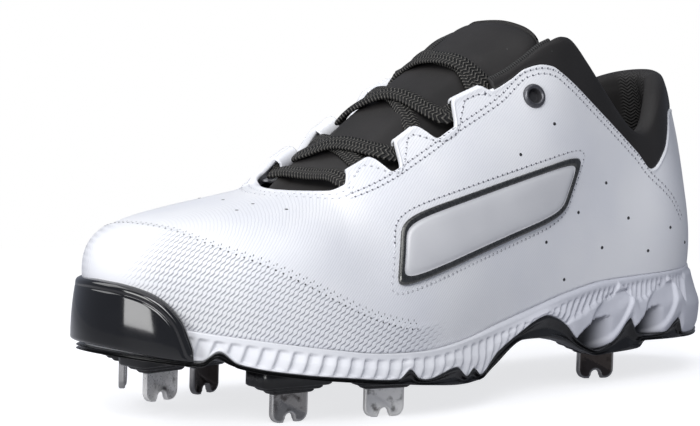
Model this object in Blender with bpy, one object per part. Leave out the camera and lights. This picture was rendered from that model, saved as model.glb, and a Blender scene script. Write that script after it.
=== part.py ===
# Softball cleat, left shoe, standing on its steel spikes.
# Sizes are in millimetres, x to the toe, y to the outer side, z up; the mesh is written in metres.
import math
import bmesh
import bpy
import numpy as np
from mathutils import Vector
from mathutils.bvhtree import BVHTree

MM = 0.001
CENTRE_X = -1.75
CENTRE_Y = 2.2

WALL = 2.2
GAP = 0.35
CAP_STEP = 0.7
CAP_STEP_LENGTH = 0.02
NOTCH_RAMP = 2.2
COLLAR_PAD = 7.0
COLLAR_FRONT_PAD = 3.2
COLLAR_DROP = 16.0
LINING_GAP = 0.9
COLLAR_MIN_HEIGHT = 2.2
TONGUE_THICK = 5.0
TONGUE_FRONT_GAP = 4.2
TONGUE_CUTS = 13
INSOLE_THICK = 3.5
BED_INSET = 9.0
LIP = 1.8
RIB_DEPTH = 0.9
SCOOP_DEPTH = 4.0
PLATE_THICK = 2.2
PLATE_EDGE = 1.2
PLATE_SKIN = 0.8
PEDESTAL_DROP = 2.4
GUARD_THICK = 2.2
GUARD_OFFSET = 2.6
BLADE_WIDTH = 14.0
BLADE_THICK = 2.0
BLADE_HEIGHT = 9.2
PRONG_RADIUS = 3.2
NOTCH_RADIUS = 1.8
NOTCH_MIDDLE = 1.2
PRONG_FLAT = 1.4

# One row per section of the last, round the shoe from the heel by the outer side.
# x, y: where the upper meets the sole; edge: the opening's rim; leans in degrees and
# handle shares of the rib between them; cuts: facets to the next section.
SECTION_COLUMNS = ("x", "y", "edge_x", "edge_y", "edge_z", "lean_low", "lean_high", "low", "high", "cuts")
SECTIONS = {
    "heel_back": (-132.5, 1.0, -117.5, 0.5, 110.5, 0, 30, 0.34, 0.34, 4),
    "heel_corner_outer": (-123.0, 17.5, -110.0, 13.5, 108.0, 4, 12, 0.34, 0.34, 5),
    "heel_side_outer": (-99.0, 31.0, -93.0, 25.5, 97.0, 8, 14, 0.36, 0.34, 5),
    "ankle_outer": (-72.0, 33.0, -75.0, 29.0, 91.5, 6, 8, 0.35, 0.35, 5),
    "collar_front_outer": (-44.0, 34.0, -44.0, 27.0, 121.5, 4, 12, 0.35, 0.35, 5),
    "eyestay_top_outer": (-18.0, 36.5, -22.0, 24.0, 113.0, 4, 22, 0.35, 0.35, 9),
    "eyestay_mid_outer": (8.0, 41.0, 4.0, 19.0, 101.5, 4, 34, 0.35, 0.35, 9),
    "eyestay_front_outer": (34.0, 46.0, 28.0, 17.0, 88.5, 4, 44, 0.34, 0.38, 9),
    "ball_outer": (60.0, 47.0, 49.0, 14.5, 78.5, 6, 54, 0.34, 0.42, 11),
    "toe_side_outer": (92.0, 39.0, 52.5, 7.0, 74.0, 12, 70, 0.38, 0.60, 5),
    "toe_corner_outer": (117.0, 20.0, 53.5, 1.5, 73.0, 15, 76, 0.40, 0.70, 5),
    "toe_tip": (130.5, -6.0, 54.0, -3.5, 72.7, 16, 77, 0.41, 0.72, 5),
    "toe_corner_inner": (120.5, -25.5, 54.0, -8.5, 73.0, 16, 76, 0.41, 0.70, 5),
    "toe_side_inner": (100.0, -38.0, 53.5, -14.0, 74.0, 12, 70, 0.39, 0.60, 11),
    "ball_inner": (68.0, -43.0, 51.0, -21.0, 78.5, 6, 52, 0.35, 0.42, 9),
    "eyestay_front_inner": (34.0, -38.0, 28.0, -23.5, 89.5, 4, 40, 0.35, 0.38, 9),
    "eyestay_mid_inner": (8.0, -33.0, 4.0, -24.5, 102.0, 2, 28, 0.35, 0.35, 9),
    "eyestay_top_inner": (-18.0, -30.0, -22.0, -26.0, 113.0, 4, 18, 0.35, 0.35, 5),
    "collar_front_inner": (-44.0, -29.5, -44.0, -27.0, 121.5, 6, 12, 0.35, 0.35, 5),
    "ankle_inner": (-72.0, -30.0, -75.0, -28.0, 92.0, 6, 8, 0.35, 0.35, 5),
    "heel_side_inner": (-99.0, -28.5, -93.0, -24.5, 97.0, 8, 14, 0.36, 0.34, 5),
    "heel_corner_inner": (-123.0, -15.5, -110.0, -12.5, 108.0, 4, 12, 0.34, 0.34, 4),
}

# Height of the line where the upper meets the midsole.
FEATHER_LINE = ((-140, 39.0), (-100, 38.6), (-60, 37.4), (-40, 34.6), (-20, 30.6), (0, 27.0),
                (20, 23.6), (40, 22.0), (60, 22.6), (80, 25.0), (100, 28.0), (118, 31.0), (140, 36.0))

# Upper rim of the white panel under the collar, with a point behind the ankle.
QUARTER_LINE = ((-140, 96.0), (-116, 96.0), (-108, 94.4), (-103.5, 90.5), (-93.5, 81.0), (-85.6, 76.0),
                (-78.3, 82.4), (-70.5, 88.3), (-54.5, 99.5), (-38.9, 110.2), (-34.4, 112.8), (-30.2, 113.4),
                (-24, 112.0), (-18, 108.3), (-9.4, 104.2), (-6, 103.4))

# Lower edge of the midsole, with the plate's humps and the heel waves.
MIDSOLE_LOW = ((-145, 15.2), (-112, 15.6), (-110, 20.0), (-96, 17.0), (-79, 19.2), (-75, 22.5), (-63, 16.6),
               (-46, 17.2), (-30, 27.4), (-12, 22.5), (6, 15.0), (13, 11.4), (17, 14.0), (21, 11.8),
               (27, 15.4), (42, 12.9), (46, 13.6), (50, 16.8), (55, 14.0), (74, 15.7), (89, 17.4),
               (106, 20.8), (110.5, 24.6), (114.5, 21.4), (140, 25.0))

# Lower edge of the plate and the level of its middle.
PLATE_LOW = ((-145, 14.0), (-116, 14.0), (-95, 14.6), (-79, 15.0), (-76, 12.6), (-60, 12.2),
             (-46, 14.8), (-26, 20.0), (-12, 20.6), (6, 13.2), (14, 9.8), (22, 9.4), (42, 11.0), (58, 12.8),
             (80, 15.0), (110, 20.0), (140, 23.6))
PLATE_MIDDLE = ((-145, 16.6), (-76, 16.6), (-46, 18.6), (-26, 23.0), (-10, 21.4), (10, 15.2), (30, 14.2),
                (55, 15.6), (80, 17.8), (110, 22.4), (140, 25.6))

# How far the midsole's side stands out beyond its lip.
FLARE = ((-140, 4.8), (-115, 4.6), (-80, 3.0), (-40, 1.6), (40, 1.4), (85, 1.2), (108, 0.3), (140, 0.2))

# Leaf-shaped scoops of the heel wave: middle, half length and height.
SCOOPS = ((-58.0, 8.0, 24.0, 8.0), (-90.0, 9.0, 22.5, 8.0))

# Share of each rib where the toe cap ends, along the length of the sole.
CAP_LINE = ((-140, 0.12), (45, 0.12), (62, 0.17), (87, 0.28), (108, 0.38), (125, 0.46), (132, 0.55))

# Lacing tabs of the eyestay: back and front of each along the rim, length of the ramp behind it
# and depth of the notch there. The throat is cut down in front of the first tab.
TABS = ((39.7, 49.0, 4.2, 8.8), (20.7, 29.4, 5.6, 8.8), (-7.4, 4.8, 2.0, 3.0))
THROAT_CUT = 4.5
THROAT_RAMP = 1.2

# Top of the toe guard from its outer to its inner end, by share of its run.
GUARD_TOP = ((0.0, 25.0), (0.02, 28.8), (0.05, 33.6), (0.1, 38.0), (0.15, 40.8), (0.2, 42.5), (0.27, 43.9),
             (0.35, 44.7), (0.45, 45.0), (0.6, 44.4), (0.8, 43.4), (1.0, 42.6))
GUARD_RUN = ("toe_corner_outer", "toe_side_inner", -0.05, -0.35)

# Tongue from the throat to its top: place along the rim, height of its crown, depth under the rim
# and how far its edge reaches below the rim; its shoulders, as shares of the way out and of the height.
TONGUE_ROWS = ((50.0, 72.6, 6.6, 3.0), (45.0, 77.4, 4.8, 6.0), (36.0, 84.2, 3.8, 10.0),
               (24.0, 93.2, 3.5, 11.0), (10.0, 102.0, 3.4, 11.0), (-4.0, 110.0, 3.6, 11.0),
               (-14.0, 115.6, 4.8, 11.0), (-22.0, 120.2, 5.4, 11.0), (-29.0, 124.2, 6.2, 10.0),
               (-36.0, 127.0, 7.2, 9.0))
TONGUE_SHOULDER = (0.58, 0.8)

# Eyelets: place along the rim, share of the rib, hole in the upper, and the ring's section.
EYELET_X = -25.0
EYELET_SHARE = 0.842
EYELET_HOLE = 3.0
EYELET_ROWS = ((2.1, -2.1), (2.6, -2.1), (2.6, 0.4), (4.2, 0.4), (4.2, 0.7), (3.4, 1.2), (2.1, 1.0))

# Laces: ends of each strip in plan.
LACE_WIDTH = 6.0
LACE_THICK = 1.7
LACE_CLEAR = 1.0
LACE_CUTS = 13
LACES = {
    "lace_bar_front": (((47.4, 10.0), (47.4, -16.5)),),
    "lace_cross_front": (((41.0, 13.0), (27.0, -20.0)), ((27.0, 14.0), (41.0, -20.0))),
    "lace_cross_middle": (((20.5, 15.0), (4.5, -21.0)), ((4.5, 16.0), (20.5, -21.0))),
    "lace_bar_top": (((-3.5, 17.0), (-3.5, -21.5)),),
}

# Side badge: middle and half sizes along and up, slant of its ends, rise to the rear, and the rows of
# its section as distance in from the rim and height over the upper.
BADGE_MIDDLE = (4.0, 62.0)
BADGE_HALF = (44.0, 11.0)
BADGE_SLANT = -0.55
BADGE_RISE = 0.22
BADGE_SQUARENESS = 7.0
BADGE_ROWS = ((7.0, 1.5), (3.0, 1.5), (0.4, 1.4), (0.0, 1.0), (0.0, 0.5), (3.0, 0.5), (7.0, 0.5))

# Spikes: place, turn of the blade about z in degrees, level of the prongs.
SPIKES = {
    "spike_toe_outer": (111.0, -1.5, 5.0, 5.4),
    "spike_toe_inner": (103.5, -30.0, 48.0, 5.4),
    "spike_ball_outer": (82.6, 27.9, -6.0, 0.0),
    "spike_ball_inner": (68.0, -31.0, 12.0, 0.0),
    "spike_waist_outer": (49.5, 36.8, -17.0, 0.0),
    "spike_waist_inner": (26.0, -28.0, 6.0, 0.0),
    "spike_heel_outer": (-72.4, 19.0, -22.0, 0.0),
    "spike_heel_inner": (-110.0, -14.0, 24.0, 0.0),
}
# Steps of the pedestal over each blade: length, width, share of the way down to the blade's head.
PEDESTAL_STEPS = ((27.0, 13.0, 0.0), (22.0, 10.0, 0.5), (17.0, 6.4, 1.0))


def profile(table, at):
    """Smooth curve through a table of places and values that never overshoots them."""
    x, y = np.array(table, float).T
    h = np.diff(x)
    slope = np.diff(y) / h
    tangent = np.zeros(len(x))
    for i in range(1, len(x) - 1):
        if slope[i - 1] * slope[i] > 0:
            w1 = 2 * h[i] + h[i - 1]
            w2 = h[i] + 2 * h[i - 1]
            tangent[i] = (w1 + w2) / (w1 / slope[i - 1] + w2 / slope[i])
    tangent[0] = slope[0]
    tangent[-1] = slope[-1]
    at = np.clip(np.asarray(at, float), x[0], x[-1])
    k = np.clip(np.searchsorted(x, at, side="right") - 1, 0, len(h) - 1)
    u = (at - x[k]) / h[k]
    rise = (1 + 2 * u) * (1 - u) ** 2 * y[k] + u * u * (3 - 2 * u) * y[k + 1]
    return rise + h[k] * u * (1 - u) ** 2 * tangent[k] + h[k] * u * u * (u - 1) * tangent[k + 1]


def closed_spline(knots, values, at):
    """Cubic spline through values at knots, closed after one turn of 1."""
    n = len(knots)
    h = np.diff(np.append(knots, knots[0] + 1.0))
    rise = np.roll(values, -1, axis=0) - values
    matrix = np.zeros((n, n))
    right = np.zeros_like(values)
    for i in range(n):
        matrix[i, i - 1] = 1 / h[i - 1]
        matrix[i, i] = 2 / h[i - 1] + 2 / h[i]
        matrix[i, (i + 1) % n] = 1 / h[i]
        right[i] = 3 * (rise[i - 1] / h[i - 1] ** 2 + rise[i] / h[i] ** 2)
    slope = np.linalg.solve(matrix, right)
    at = np.mod(np.asarray(at, float) - knots[0], 1.0) + knots[0]
    k = np.clip(np.searchsorted(knots, at, side="right") - 1, 0, n - 1)
    nxt = (k + 1) % n
    u = ((at - knots[k]) / h[k])[..., None]
    step = h[k][..., None]
    value = (1 + 2 * u) * (1 - u) ** 2 * values[k] + u * u * (3 - 2 * u) * values[nxt]
    return value + step * u * (1 - u) ** 2 * slope[k] + step * u * u * (u - 1) * slope[nxt]


ROWS = list(SECTIONS)
TABLE = np.array([SECTIONS[name] for name in ROWS], float)
LEGS = np.linalg.norm(np.diff(np.vstack([TABLE[:, :2], TABLE[:1, :2]]), axis=0), axis=1)
KNOTS = np.concatenate([[0.0], np.cumsum(LEGS)[:-1]]) / LEGS.sum()
STATION = dict(zip(ROWS, KNOTS))


def stations(refine=1):
    """Places round the shoe, with each section's own number of cuts."""
    ends = np.append(KNOTS[1:], 1.0)
    counts = TABLE[:, SECTION_COLUMNS.index("cuts")].astype(int) * refine
    runs = [np.linspace(a, b, c, endpoint=False) for a, b, c in zip(KNOTS, ends, counts)]
    return np.concatenate(runs)


def outline(s):
    """Plan of the feather line and its outward direction."""
    place = closed_spline(KNOTS, TABLE[:, :2], s)
    ahead = closed_spline(KNOTS, TABLE[:, :2], np.asarray(s) + 1e-4)
    behind = closed_spline(KNOTS, TABLE[:, :2], np.asarray(s) - 1e-4)
    run = ahead - behind
    run /= np.linalg.norm(run, axis=-1, keepdims=True)
    out = np.stack([-run[..., 1], run[..., 0]], axis=-1)
    return place, out


def last_point(s, t):
    """Outer face of the upper: s round the shoe, t from the sole to the opening's rim."""
    s = np.asarray(s, float)
    t = np.asarray(t, float)[..., None]
    row = closed_spline(KNOTS, TABLE, s)
    place, out = outline(s)
    up = np.array([0.0, 0.0, 1.0])
    away = np.concatenate([out, np.zeros_like(out[..., :1])], axis=-1)
    foot = np.concatenate([place, profile(FEATHER_LINE, place[..., 0])[..., None]], axis=-1)
    rim = row[..., 2:5]
    reach = np.linalg.norm(rim - foot, axis=-1, keepdims=True)
    low_lean = np.radians(row[..., 5:6])
    high_lean = np.radians(row[..., 6:7])
    first = foot + reach * row[..., 7:8] * (np.sin(low_lean) * away + np.cos(low_lean) * up)
    second = rim - reach * row[..., 8:9] * (np.cos(high_lean) * up - np.sin(high_lean) * away)
    return foot * (1 - t) ** 3 + 3 * first * t * (1 - t) ** 2 + 3 * second * t * t * (1 - t) + rim * t ** 3


def last_normal(s, t):
    """Outward direction of the upper's face."""
    e = 1e-4
    t = np.clip(t, 0.002, 0.998)
    across = last_point(np.asarray(s) + e, t) - last_point(np.asarray(s) - e, t)
    upward = last_point(s, t + e) - last_point(s, t - e)
    normal = np.cross(upward, across)
    return normal / np.linalg.norm(normal, axis=-1, keepdims=True)


def inside(s, t, depth):
    """Face of the upper moved inwards by a depth."""
    return last_point(s, t) - np.asarray(depth, float)[..., None] * last_normal(s, t)


def share_at(s, wanted):
    """Share of the rib at which a height function of x is first reached from above."""
    t = np.linspace(1.0, 0.0, 401)
    s = np.asarray(s, float)
    grid = last_point(np.repeat(s[:, None], 401, axis=1), np.repeat(t[None, :], len(s), axis=0))
    below = grid[..., 2] <= wanted(grid[..., 0])
    return t[np.argmax(below, axis=1)]


def rim_height(s):
    """Share of the rib where the white upper ends, with the eyestay's notches."""
    rim = last_point(s, np.ones(len(s)))
    foot = last_point(s, np.zeros(len(s)))
    reach = np.linalg.norm(rim - foot, axis=1)
    x = rim[:, 0]
    cut = THROAT_CUT * np.clip((x - TABS[0][1]) / THROAT_RAMP, 0, 1)
    next_fronts = [front for _, front, _, _ in TABS[1:]] + [-np.inf]
    for (back, _, ramp, depth), front in zip(TABS, next_fronts):
        behind = np.clip((back - x) / ramp, 0, 1)
        before = np.clip((x - front) / NOTCH_RAMP, 0, 1)
        cut = np.maximum(cut, depth * np.minimum(behind, before))
    tabs = 1 - cut / reach
    quarter = share_at(s, lambda along: profile(QUARTER_LINE, along))
    return np.where(x < TABS[-1][0] - TABS[-1][2], quarter, tabs)


def make(name, points, faces, colour, rough, metal=0.0):
    """One closed solid with a plain material of its own."""
    shifted = (np.asarray(points, float) - np.array([CENTRE_X, CENTRE_Y, 0.0])) * MM
    mesh = bpy.data.meshes.new(name)
    mesh.from_pydata(shifted.tolist(), [], faces)
    body = bmesh.new()
    body.from_mesh(mesh)
    bmesh.ops.recalc_face_normals(body, faces=body.faces)
    body.to_mesh(mesh)
    body.free()
    material = bpy.data.materials.new(name + "_material")
    material.use_nodes = True
    shader = material.node_tree.nodes["Principled BSDF"]
    shader.inputs["Base Color"].default_value = (*colour, 1.0)
    shader.inputs["Roughness"].default_value = rough
    shader.inputs["Metallic"].default_value = metal
    mesh.materials.append(material)
    node = bpy.data.objects.new(name, mesh)
    bpy.context.scene.collection.objects.link(node)
    return node


def loft_faces(count, around, closed):
    """Quads between neighbouring loops, with end caps where the run is open."""
    faces = []
    for i in range(count if closed else count - 1):
        j = (i + 1) % count
        for k in range(around):
            m = (k + 1) % around
            faces.append((i * around + k, i * around + m, j * around + m, j * around + k))
    if not closed:
        faces.append(tuple(range(around)))
        faces.append(tuple((count - 1) * around + k for k in reversed(range(around))))
    return faces


def loft(loops, closed):
    loops = np.asarray(loops)
    return loops.reshape(-1, 3), loft_faces(loops.shape[0], loops.shape[1], closed)


def stack(rings, swapped=()):
    """Closed rings one under the other, each end closed by rungs across the shoe."""
    rings = np.asarray(rings)
    levels, around = rings.shape[:2]
    faces = []
    for i in range(levels - 1):
        for k in range(around):
            m = (k + 1) % around
            a, b, c, d = i * around + k, i * around + m, (i + 1) * around + m, (i + 1) * around + k
            faces.extend([(a, b, d), (b, c, d)] if i in swapped else [(a, b, c), (a, c, d)])
    for level in (0, levels - 1):
        base = level * around
        for k in range(around // 2):
            rung = [k, k + 1, (around - k - 1) % around, (around - k) % around]
            kept = list(dict.fromkeys(rung))
            for pair in range(len(kept) - 2):
                faces.append((base + kept[0], base + kept[pair + 1], base + kept[pair + 2]))
    return rings.reshape(-1, 3), faces


def box_plan(length, width):
    """Plan of a block with cut corners."""
    along, side = length / 2, width / 2
    cut = side * 0.45
    plan = [(along, side - cut), (along - cut, side), (cut - along, side), (-along, side - cut)]
    return plan + [(-x, -y) for x, y in plan]


def turned(points, x, y, turn):
    """Plan points turned about z and moved to a place; any height is kept."""
    c, s = math.cos(math.radians(turn)), math.sin(math.radians(turn))
    return [(x + c * p[0] - s * p[1], y + s * p[0] + c * p[1], *p[2:]) for p in points]


def joined(body, cutter, operation):
    """Boolean of a body with a helper, applied."""
    cutter.hide_render = True
    cutter.display_type = "WIRE"
    step = body.modifiers.new("step", "BOOLEAN")
    step.operation = operation
    step.solver = "EXACT"
    step.object = cutter
    graph = bpy.context.evaluated_depsgraph_get()
    result = bpy.data.meshes.new_from_object(body.evaluated_get(graph))
    body.modifiers.remove(step)
    body.data = result
    bpy.data.objects.remove(cutter)
    return body


for leftover in list(bpy.data.objects):
    bpy.data.objects.remove(leftover)

# Upper: hollow wall on the last, a step thicker over the toe cap.
s = stations()
top = rim_height(s)
plan, _ = outline(s)
cap = profile(CAP_LINE, plan[:, 0])
low = cap + CAP_STEP_LENGTH
even = np.minimum(top, 0.86)
shares = np.stack([np.zeros(len(s)), cap * 0.38, cap * 0.64, cap * 0.84, cap, low, low + (even - low) * 0.3,
                   low + (even - low) * 0.6, low + (even - low) * 0.85, top], axis=1)
around = np.repeat(s[:, None], shares.shape[1], axis=1)
raise_cap = np.zeros(shares.shape)
raise_cap[:, 1:5] = profile(((34, 0.0), (50, CAP_STEP)), plan[:, 0])[:, None]
face = inside(around, shares, -raise_cap)
back = inside(around, shares, np.full(shares.shape, WALL))[:, [0, 2, 4, 6, 8, 9]]
back[:, 0, 2] = face[:, 0, 2]
upper = make("upper", *loft(np.concatenate([face, back[:, ::-1]], axis=1), True), (0.85, 0.85, 0.88), 0.45)

# Collar: padded cuff that stands on the white panel and lines it inside.
run = np.concatenate([s, s + 1.0])
begin = STATION["eyestay_top_inner"]
end = STATION["eyestay_top_outer"] + 1.0
run = run[(run > begin - 0.02) & (run < end + 0.02)]
rim = rim_height(np.mod(run, 1.0))
ring_reach = np.linalg.norm(last_point(run, np.ones(len(run))) - last_point(run, rim), axis=1)
keep = ring_reach > COLLAR_MIN_HEIGHT
run = run[keep]
rim = rim[keep]
reach = np.linalg.norm(last_point(run, np.ones(len(run))) - last_point(run, np.zeros(len(run))), axis=1)
x = last_point(run, np.ones(len(run)))[:, 0]
pad = profile(((-125, COLLAR_PAD), (-70, COLLAR_PAD), (-45, 5.0), (-20, COLLAR_FRONT_PAD)), x)
start = rim + GAP / reach
drop = np.maximum(rim - COLLAR_DROP / reach, 0.3)
steps = ((start, 0.3), (start, 0.0), ((start + 1) / 2, 0.0), (np.full(len(run), 0.955), 0.05),
         (np.ones(len(run)), 0.3), (np.ones(len(run)), 0.65), (np.full(len(run), 0.96), 0.95),
         ((start + 1) / 2, 1.0), (start, 1.0), ((start + drop) / 2, 0.95))
loop = [inside(run, share, depth * pad) for share, depth in steps]
loop[0] = inside(run, start, np.full(len(run), WALL + LINING_GAP))
loop.append(inside(run, drop, np.full(len(run), WALL + LINING_GAP + 0.8)))
loop.append(inside(run, drop, np.full(len(run), WALL + LINING_GAP)))
loop.append(inside(run, (start + drop) / 2, np.full(len(run), WALL + LINING_GAP)))
collar = make("collar", *loft(np.stack(loop, axis=1), False), (0.012, 0.012, 0.014), 0.7)

# Insole: foam sock just inside the wall.
half = s[::2]
plan, out = outline(half)
level = profile(FEATHER_LINE, plan[:, 0])
rings = []
edge = WALL + 1.2
for inset, lift in ((BED_INSET, INSOLE_THICK), (edge, INSOLE_THICK), (edge, 0.0), (BED_INSET, 0.0)):
    rings.append(np.column_stack([plan - out * inset, level + lift]))
make("insole", *stack(rings), (0.05, 0.05, 0.055), 0.9)

# Midsole: foam with ribbed sides, an arch and scooped heel waves.
plan, out = outline(s)
level = profile(FEATHER_LINE, plan[:, 0]) - GAP
groove = np.arange(len(s)) % 2
low = profile(MIDSOLE_LOW, plan[:, 0])
flare = profile(FLARE, plan[:, 0])
rings = [np.column_stack([plan - out * BED_INSET, level]), np.column_stack([plan + out * 1.0, level])]
for share, bulge in ((0.1, 0.1), (0.35, 0.55), (0.6, 1.0), (0.85, 0.9), (1.0, 0.6)):
    z = level + (low - level) * share
    ribbed = (plan[:, 0] > -40) & (plan[:, 0] < 98)
    cut = np.where(ribbed, RIB_DEPTH * groove, 0.0) * (0.2 < share < 0.9)
    for middle, half, height, tall in SCOOPS:
        leaf = 1 - ((plan[:, 0] - middle) / half) ** 2 - ((z - height) / tall * 2) ** 2
        cut = np.maximum(cut, SCOOP_DEPTH * np.clip(leaf, 0, 1) ** 0.5)
    rings.append(np.column_stack([plan + out * (LIP + flare * bulge - cut)[:, None], z]))
rings.append(np.column_stack([plan - out * BED_INSET, profile(PLATE_MIDDLE, plan[:, 0])]))
make("midsole", *stack(rings), (0.86, 0.86, 0.87), 0.55)

# Outsole plate with its stepped pedestals.
plan, out = outline(s)
low = profile(MIDSOLE_LOW, plan[:, 0]) - GAP
bottom = np.minimum(profile(PLATE_LOW, plan[:, 0]), low - PLATE_EDGE)
middle = profile(PLATE_MIDDLE, plan[:, 0])
flare = profile(FLARE, plan[:, 0])
toe = profile(((-140, 0.0), (100, 0.0), (116, 2.2), (140, 2.4)), plan[:, 0])
edge = LIP + 0.6 * flare + toe
rings = [np.column_stack([plan - out * BED_INSET, middle - GAP]),
         np.column_stack([plan + out * (edge - 0.3)[:, None], low]),
         np.column_stack([plan + out * (edge + 0.2)[:, None], (2 * low + bottom) / 3]),
         np.column_stack([plan + out * (edge - 1.2)[:, None], bottom]),
         np.column_stack([plan - out * BED_INSET, middle - GAP - PLATE_THICK])]
outsole = make("outsole", *stack(rings, swapped=(0,)), (0.015, 0.015, 0.016), 0.4)
plate_tree = BVHTree.FromObject(outsole, bpy.context.evaluated_depsgraph_get())


def plate_top(x, y):
    """Height of the plate's upper face over a place."""
    above = Vector(((x - CENTRE_X) * MM, (y - CENTRE_Y) * MM, 1.0))
    hit = plate_tree.ray_cast(above, Vector((0, 0, -1)))[0]
    return hit.z / MM if hit else float(profile(MIDSOLE_LOW, x)) - GAP


for name, (px, py, turn, tip) in SPIKES.items():
    head = tip + BLADE_HEIGHT + GAP
    length, width, share = PEDESTAL_STEPS[0]
    wide = turned(box_plan(length, width), px, py, turn)
    roof = [plate_top(x, y) - PLATE_SKIN for x, y in wide]
    rings = [[(x, y, z) for (x, y), z in zip(wide, roof)]]
    for length, width, share in PEDESTAL_STEPS:
        deep = head + (1 - share) * PEDESTAL_DROP
        step = turned(box_plan(length, width), px, py, turn)
        last_ring = rings[-1]
        if len(rings) > 1:
            rings.append([(x, y, p[2]) for (x, y), p in zip(step, last_ring)])
        rings.append([(x, y, min(deep, p[2] - 0.6)) for (x, y), p in zip(step, last_ring)])
    helper = make(name + "_pedestal", *stack(rings), (0.015, 0.015, 0.016), 0.4)
    joined(outsole, helper, "UNION")

# Toe guard: moulded wall round the toe over the midsole and the foot of the upper.
first, last, before, after = GUARD_RUN
begin = STATION[first] + before * (STATION[first] - STATION["toe_side_outer"])
end = STATION[last] + after * (STATION[last] - STATION["toe_corner_inner"])
run = np.linspace(begin, end, 26)
plan, out = outline(run)
foot_z = profile(FEATHER_LINE, plan[:, 0])
low = profile(MIDSOLE_LOW, plan[:, 0]) + 3 * GAP
high = profile(GUARD_TOP, np.linspace(0, 1, len(run)))
loop = []
for thick, shares in ((0.0, (0.0, 0.35, 0.7, 1.0)), (GUARD_THICK, (1.0, 0.85, 0.5, 0.15, 0.0))):
    for share in shares:
        z = low + (high - low) * share
        lean = profile(((-40, 0.0), (0, 0.0), (8, 0.7), (13, 1.0), (30, 1.0)), z - foot_z)
        round_edge = -0.8 if thick and share in (0.0, 1.0) else 0.0
        away = GUARD_OFFSET + thick + lean + round_edge
        loop.append(np.column_stack([plan + out * away[:, None], z]))
make("toe_guard", *loft(np.stack(loop, axis=1), False), (0.01, 0.01, 0.011), 0.15)

# Tongue: padded strip that arches under the eyestays and stands above them.
def rim_pair(along):
    """Sections on both sides whose rim lies at a place along the shoe."""
    pair = []
    for a, b in (("collar_front_outer", "ball_outer"), ("collar_front_inner", "ball_inner")):
        side = np.linspace(STATION[a], STATION[b], 600)
        pair.append(side[np.argmin(abs(last_point(side, np.ones(600))[:, 0] - along))])
    return pair


rows = []
fan = np.linspace(STATION["toe_side_outer"], STATION["toe_side_inner"], 11)[2:-2]
for share in (0.8, 0.9):
    rows.append(inside(fan, np.full(7, share), np.full(7, WALL + TONGUE_FRONT_GAP)))
for along, crown, tuck, under in TONGUE_ROWS:
    s_outer, s_inner = rim_pair(along)
    sides = np.array([s_outer, s_outer, s_inner, s_inner])
    reach = np.linalg.norm(last_point(sides, np.ones(4)) - last_point(sides, np.zeros(4)), axis=1)
    shares = 1 - np.array([under, 0.0, 0.0, under]) / reach
    four = inside(sides, shares, np.full(4, tuck))
    top_point = (four[1] + four[2]) / 2
    top_point[2] = crown
    shoulders = []
    for corner in four[1:3]:
        shoulder = top_point + (corner - top_point) * TONGUE_SHOULDER[0]
        shoulder[2] = corner[2] + (crown - corner[2]) * TONGUE_SHOULDER[1]
        shoulders.append(shoulder)
    rows.append(np.array([four[0], four[1], shoulders[0], top_point, shoulders[1], four[2], four[3]]))
rows = np.array(rows)
share = np.linspace(0, 6, TONGUE_CUTS)
outer_face = []
for row in rows:
    knots = np.arange(7)
    smooth = [profile(np.column_stack([knots, row[:, axis]]), share) for axis in range(3)]
    outer_face.append(np.stack(smooth, axis=1))
outer_face = np.array(outer_face)
across = np.gradient(outer_face, axis=1)
along = np.gradient(outer_face, axis=0)
normal = np.cross(along, across)
normal /= np.linalg.norm(normal, axis=-1, keepdims=True)
normal *= np.sign(normal[:, TONGUE_CUTS // 2, 2])[:, None, None]
thick = np.full(outer_face.shape[:2], TONGUE_THICK)
thick[:, [0, -1]] = 1.5
thick[[0, -1]] *= 0.5
inner_face = outer_face - normal * thick[..., None]
tongue = make("tongue", *loft(np.concatenate([outer_face, inner_face[:, ::-1]], axis=1), False),
              (0.012, 0.012, 0.014), 0.75)


# Spikes: pressed two-prong blades.
def blade_outline():
    half = BLADE_WIDTH / 2
    points = [(-half, BLADE_HEIGHT), (half, BLADE_HEIGHT), (half, PRONG_RADIUS)]
    for a in (-20, -40, -60, -80):
        points.append((half - PRONG_RADIUS + PRONG_RADIUS * math.cos(math.radians(a)),
                       PRONG_RADIUS + PRONG_RADIUS * math.sin(math.radians(a))))
    inner = half - PRONG_RADIUS - PRONG_FLAT
    points += [(half - PRONG_RADIUS, 0.0), (inner, 0.0), (NOTCH_RADIUS + 0.4, 0.6)]
    for a in (0, 30, 60, 90, 120, 150, 180):
        c, s = math.cos(math.radians(a)), math.sin(math.radians(a))
        points.append((NOTCH_RADIUS * c, NOTCH_MIDDLE + NOTCH_RADIUS * s))
    mirrored = [(-x, z) for x, z in reversed(points[2:10])]
    return points + mirrored


for name, (px, py, turn, tip) in SPIKES.items():
    plan = blade_outline()
    sides = []
    for y in (-BLADE_THICK / 2, BLADE_THICK / 2):
        sides.append(turned([(x, y, z + tip) for x, z in plan], px, py, turn))
    points, faces = loft(np.array(sides), False)
    make(name, points, faces, (0.55, 0.55, 0.57), 0.3, 1.0)

# Eyelets: rolled metal rings through holes in the top of each eyestay.
def across_frame(s, t):
    """Place on the upper with its outward direction and two directions along the face."""
    point = last_point(np.array([s]), np.array([t]))[0]
    normal = last_normal(np.array([s]), np.array([t]))[0]
    side = np.cross(normal, (0.0, 0.0, 1.0))
    side /= np.linalg.norm(side)
    return point, normal, side, np.cross(side, normal)


def lathed(s, t, rows, cuts):
    point, normal, side, rise = across_frame(s, t)
    loops = []
    for turn in np.linspace(0, 2 * math.pi, cuts, endpoint=False):
        spoke = math.cos(turn) * side + math.sin(turn) * rise
        loops.append([point + radius * spoke + height * normal for radius, height in rows])
    return loft(np.array(loops), True)


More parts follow.
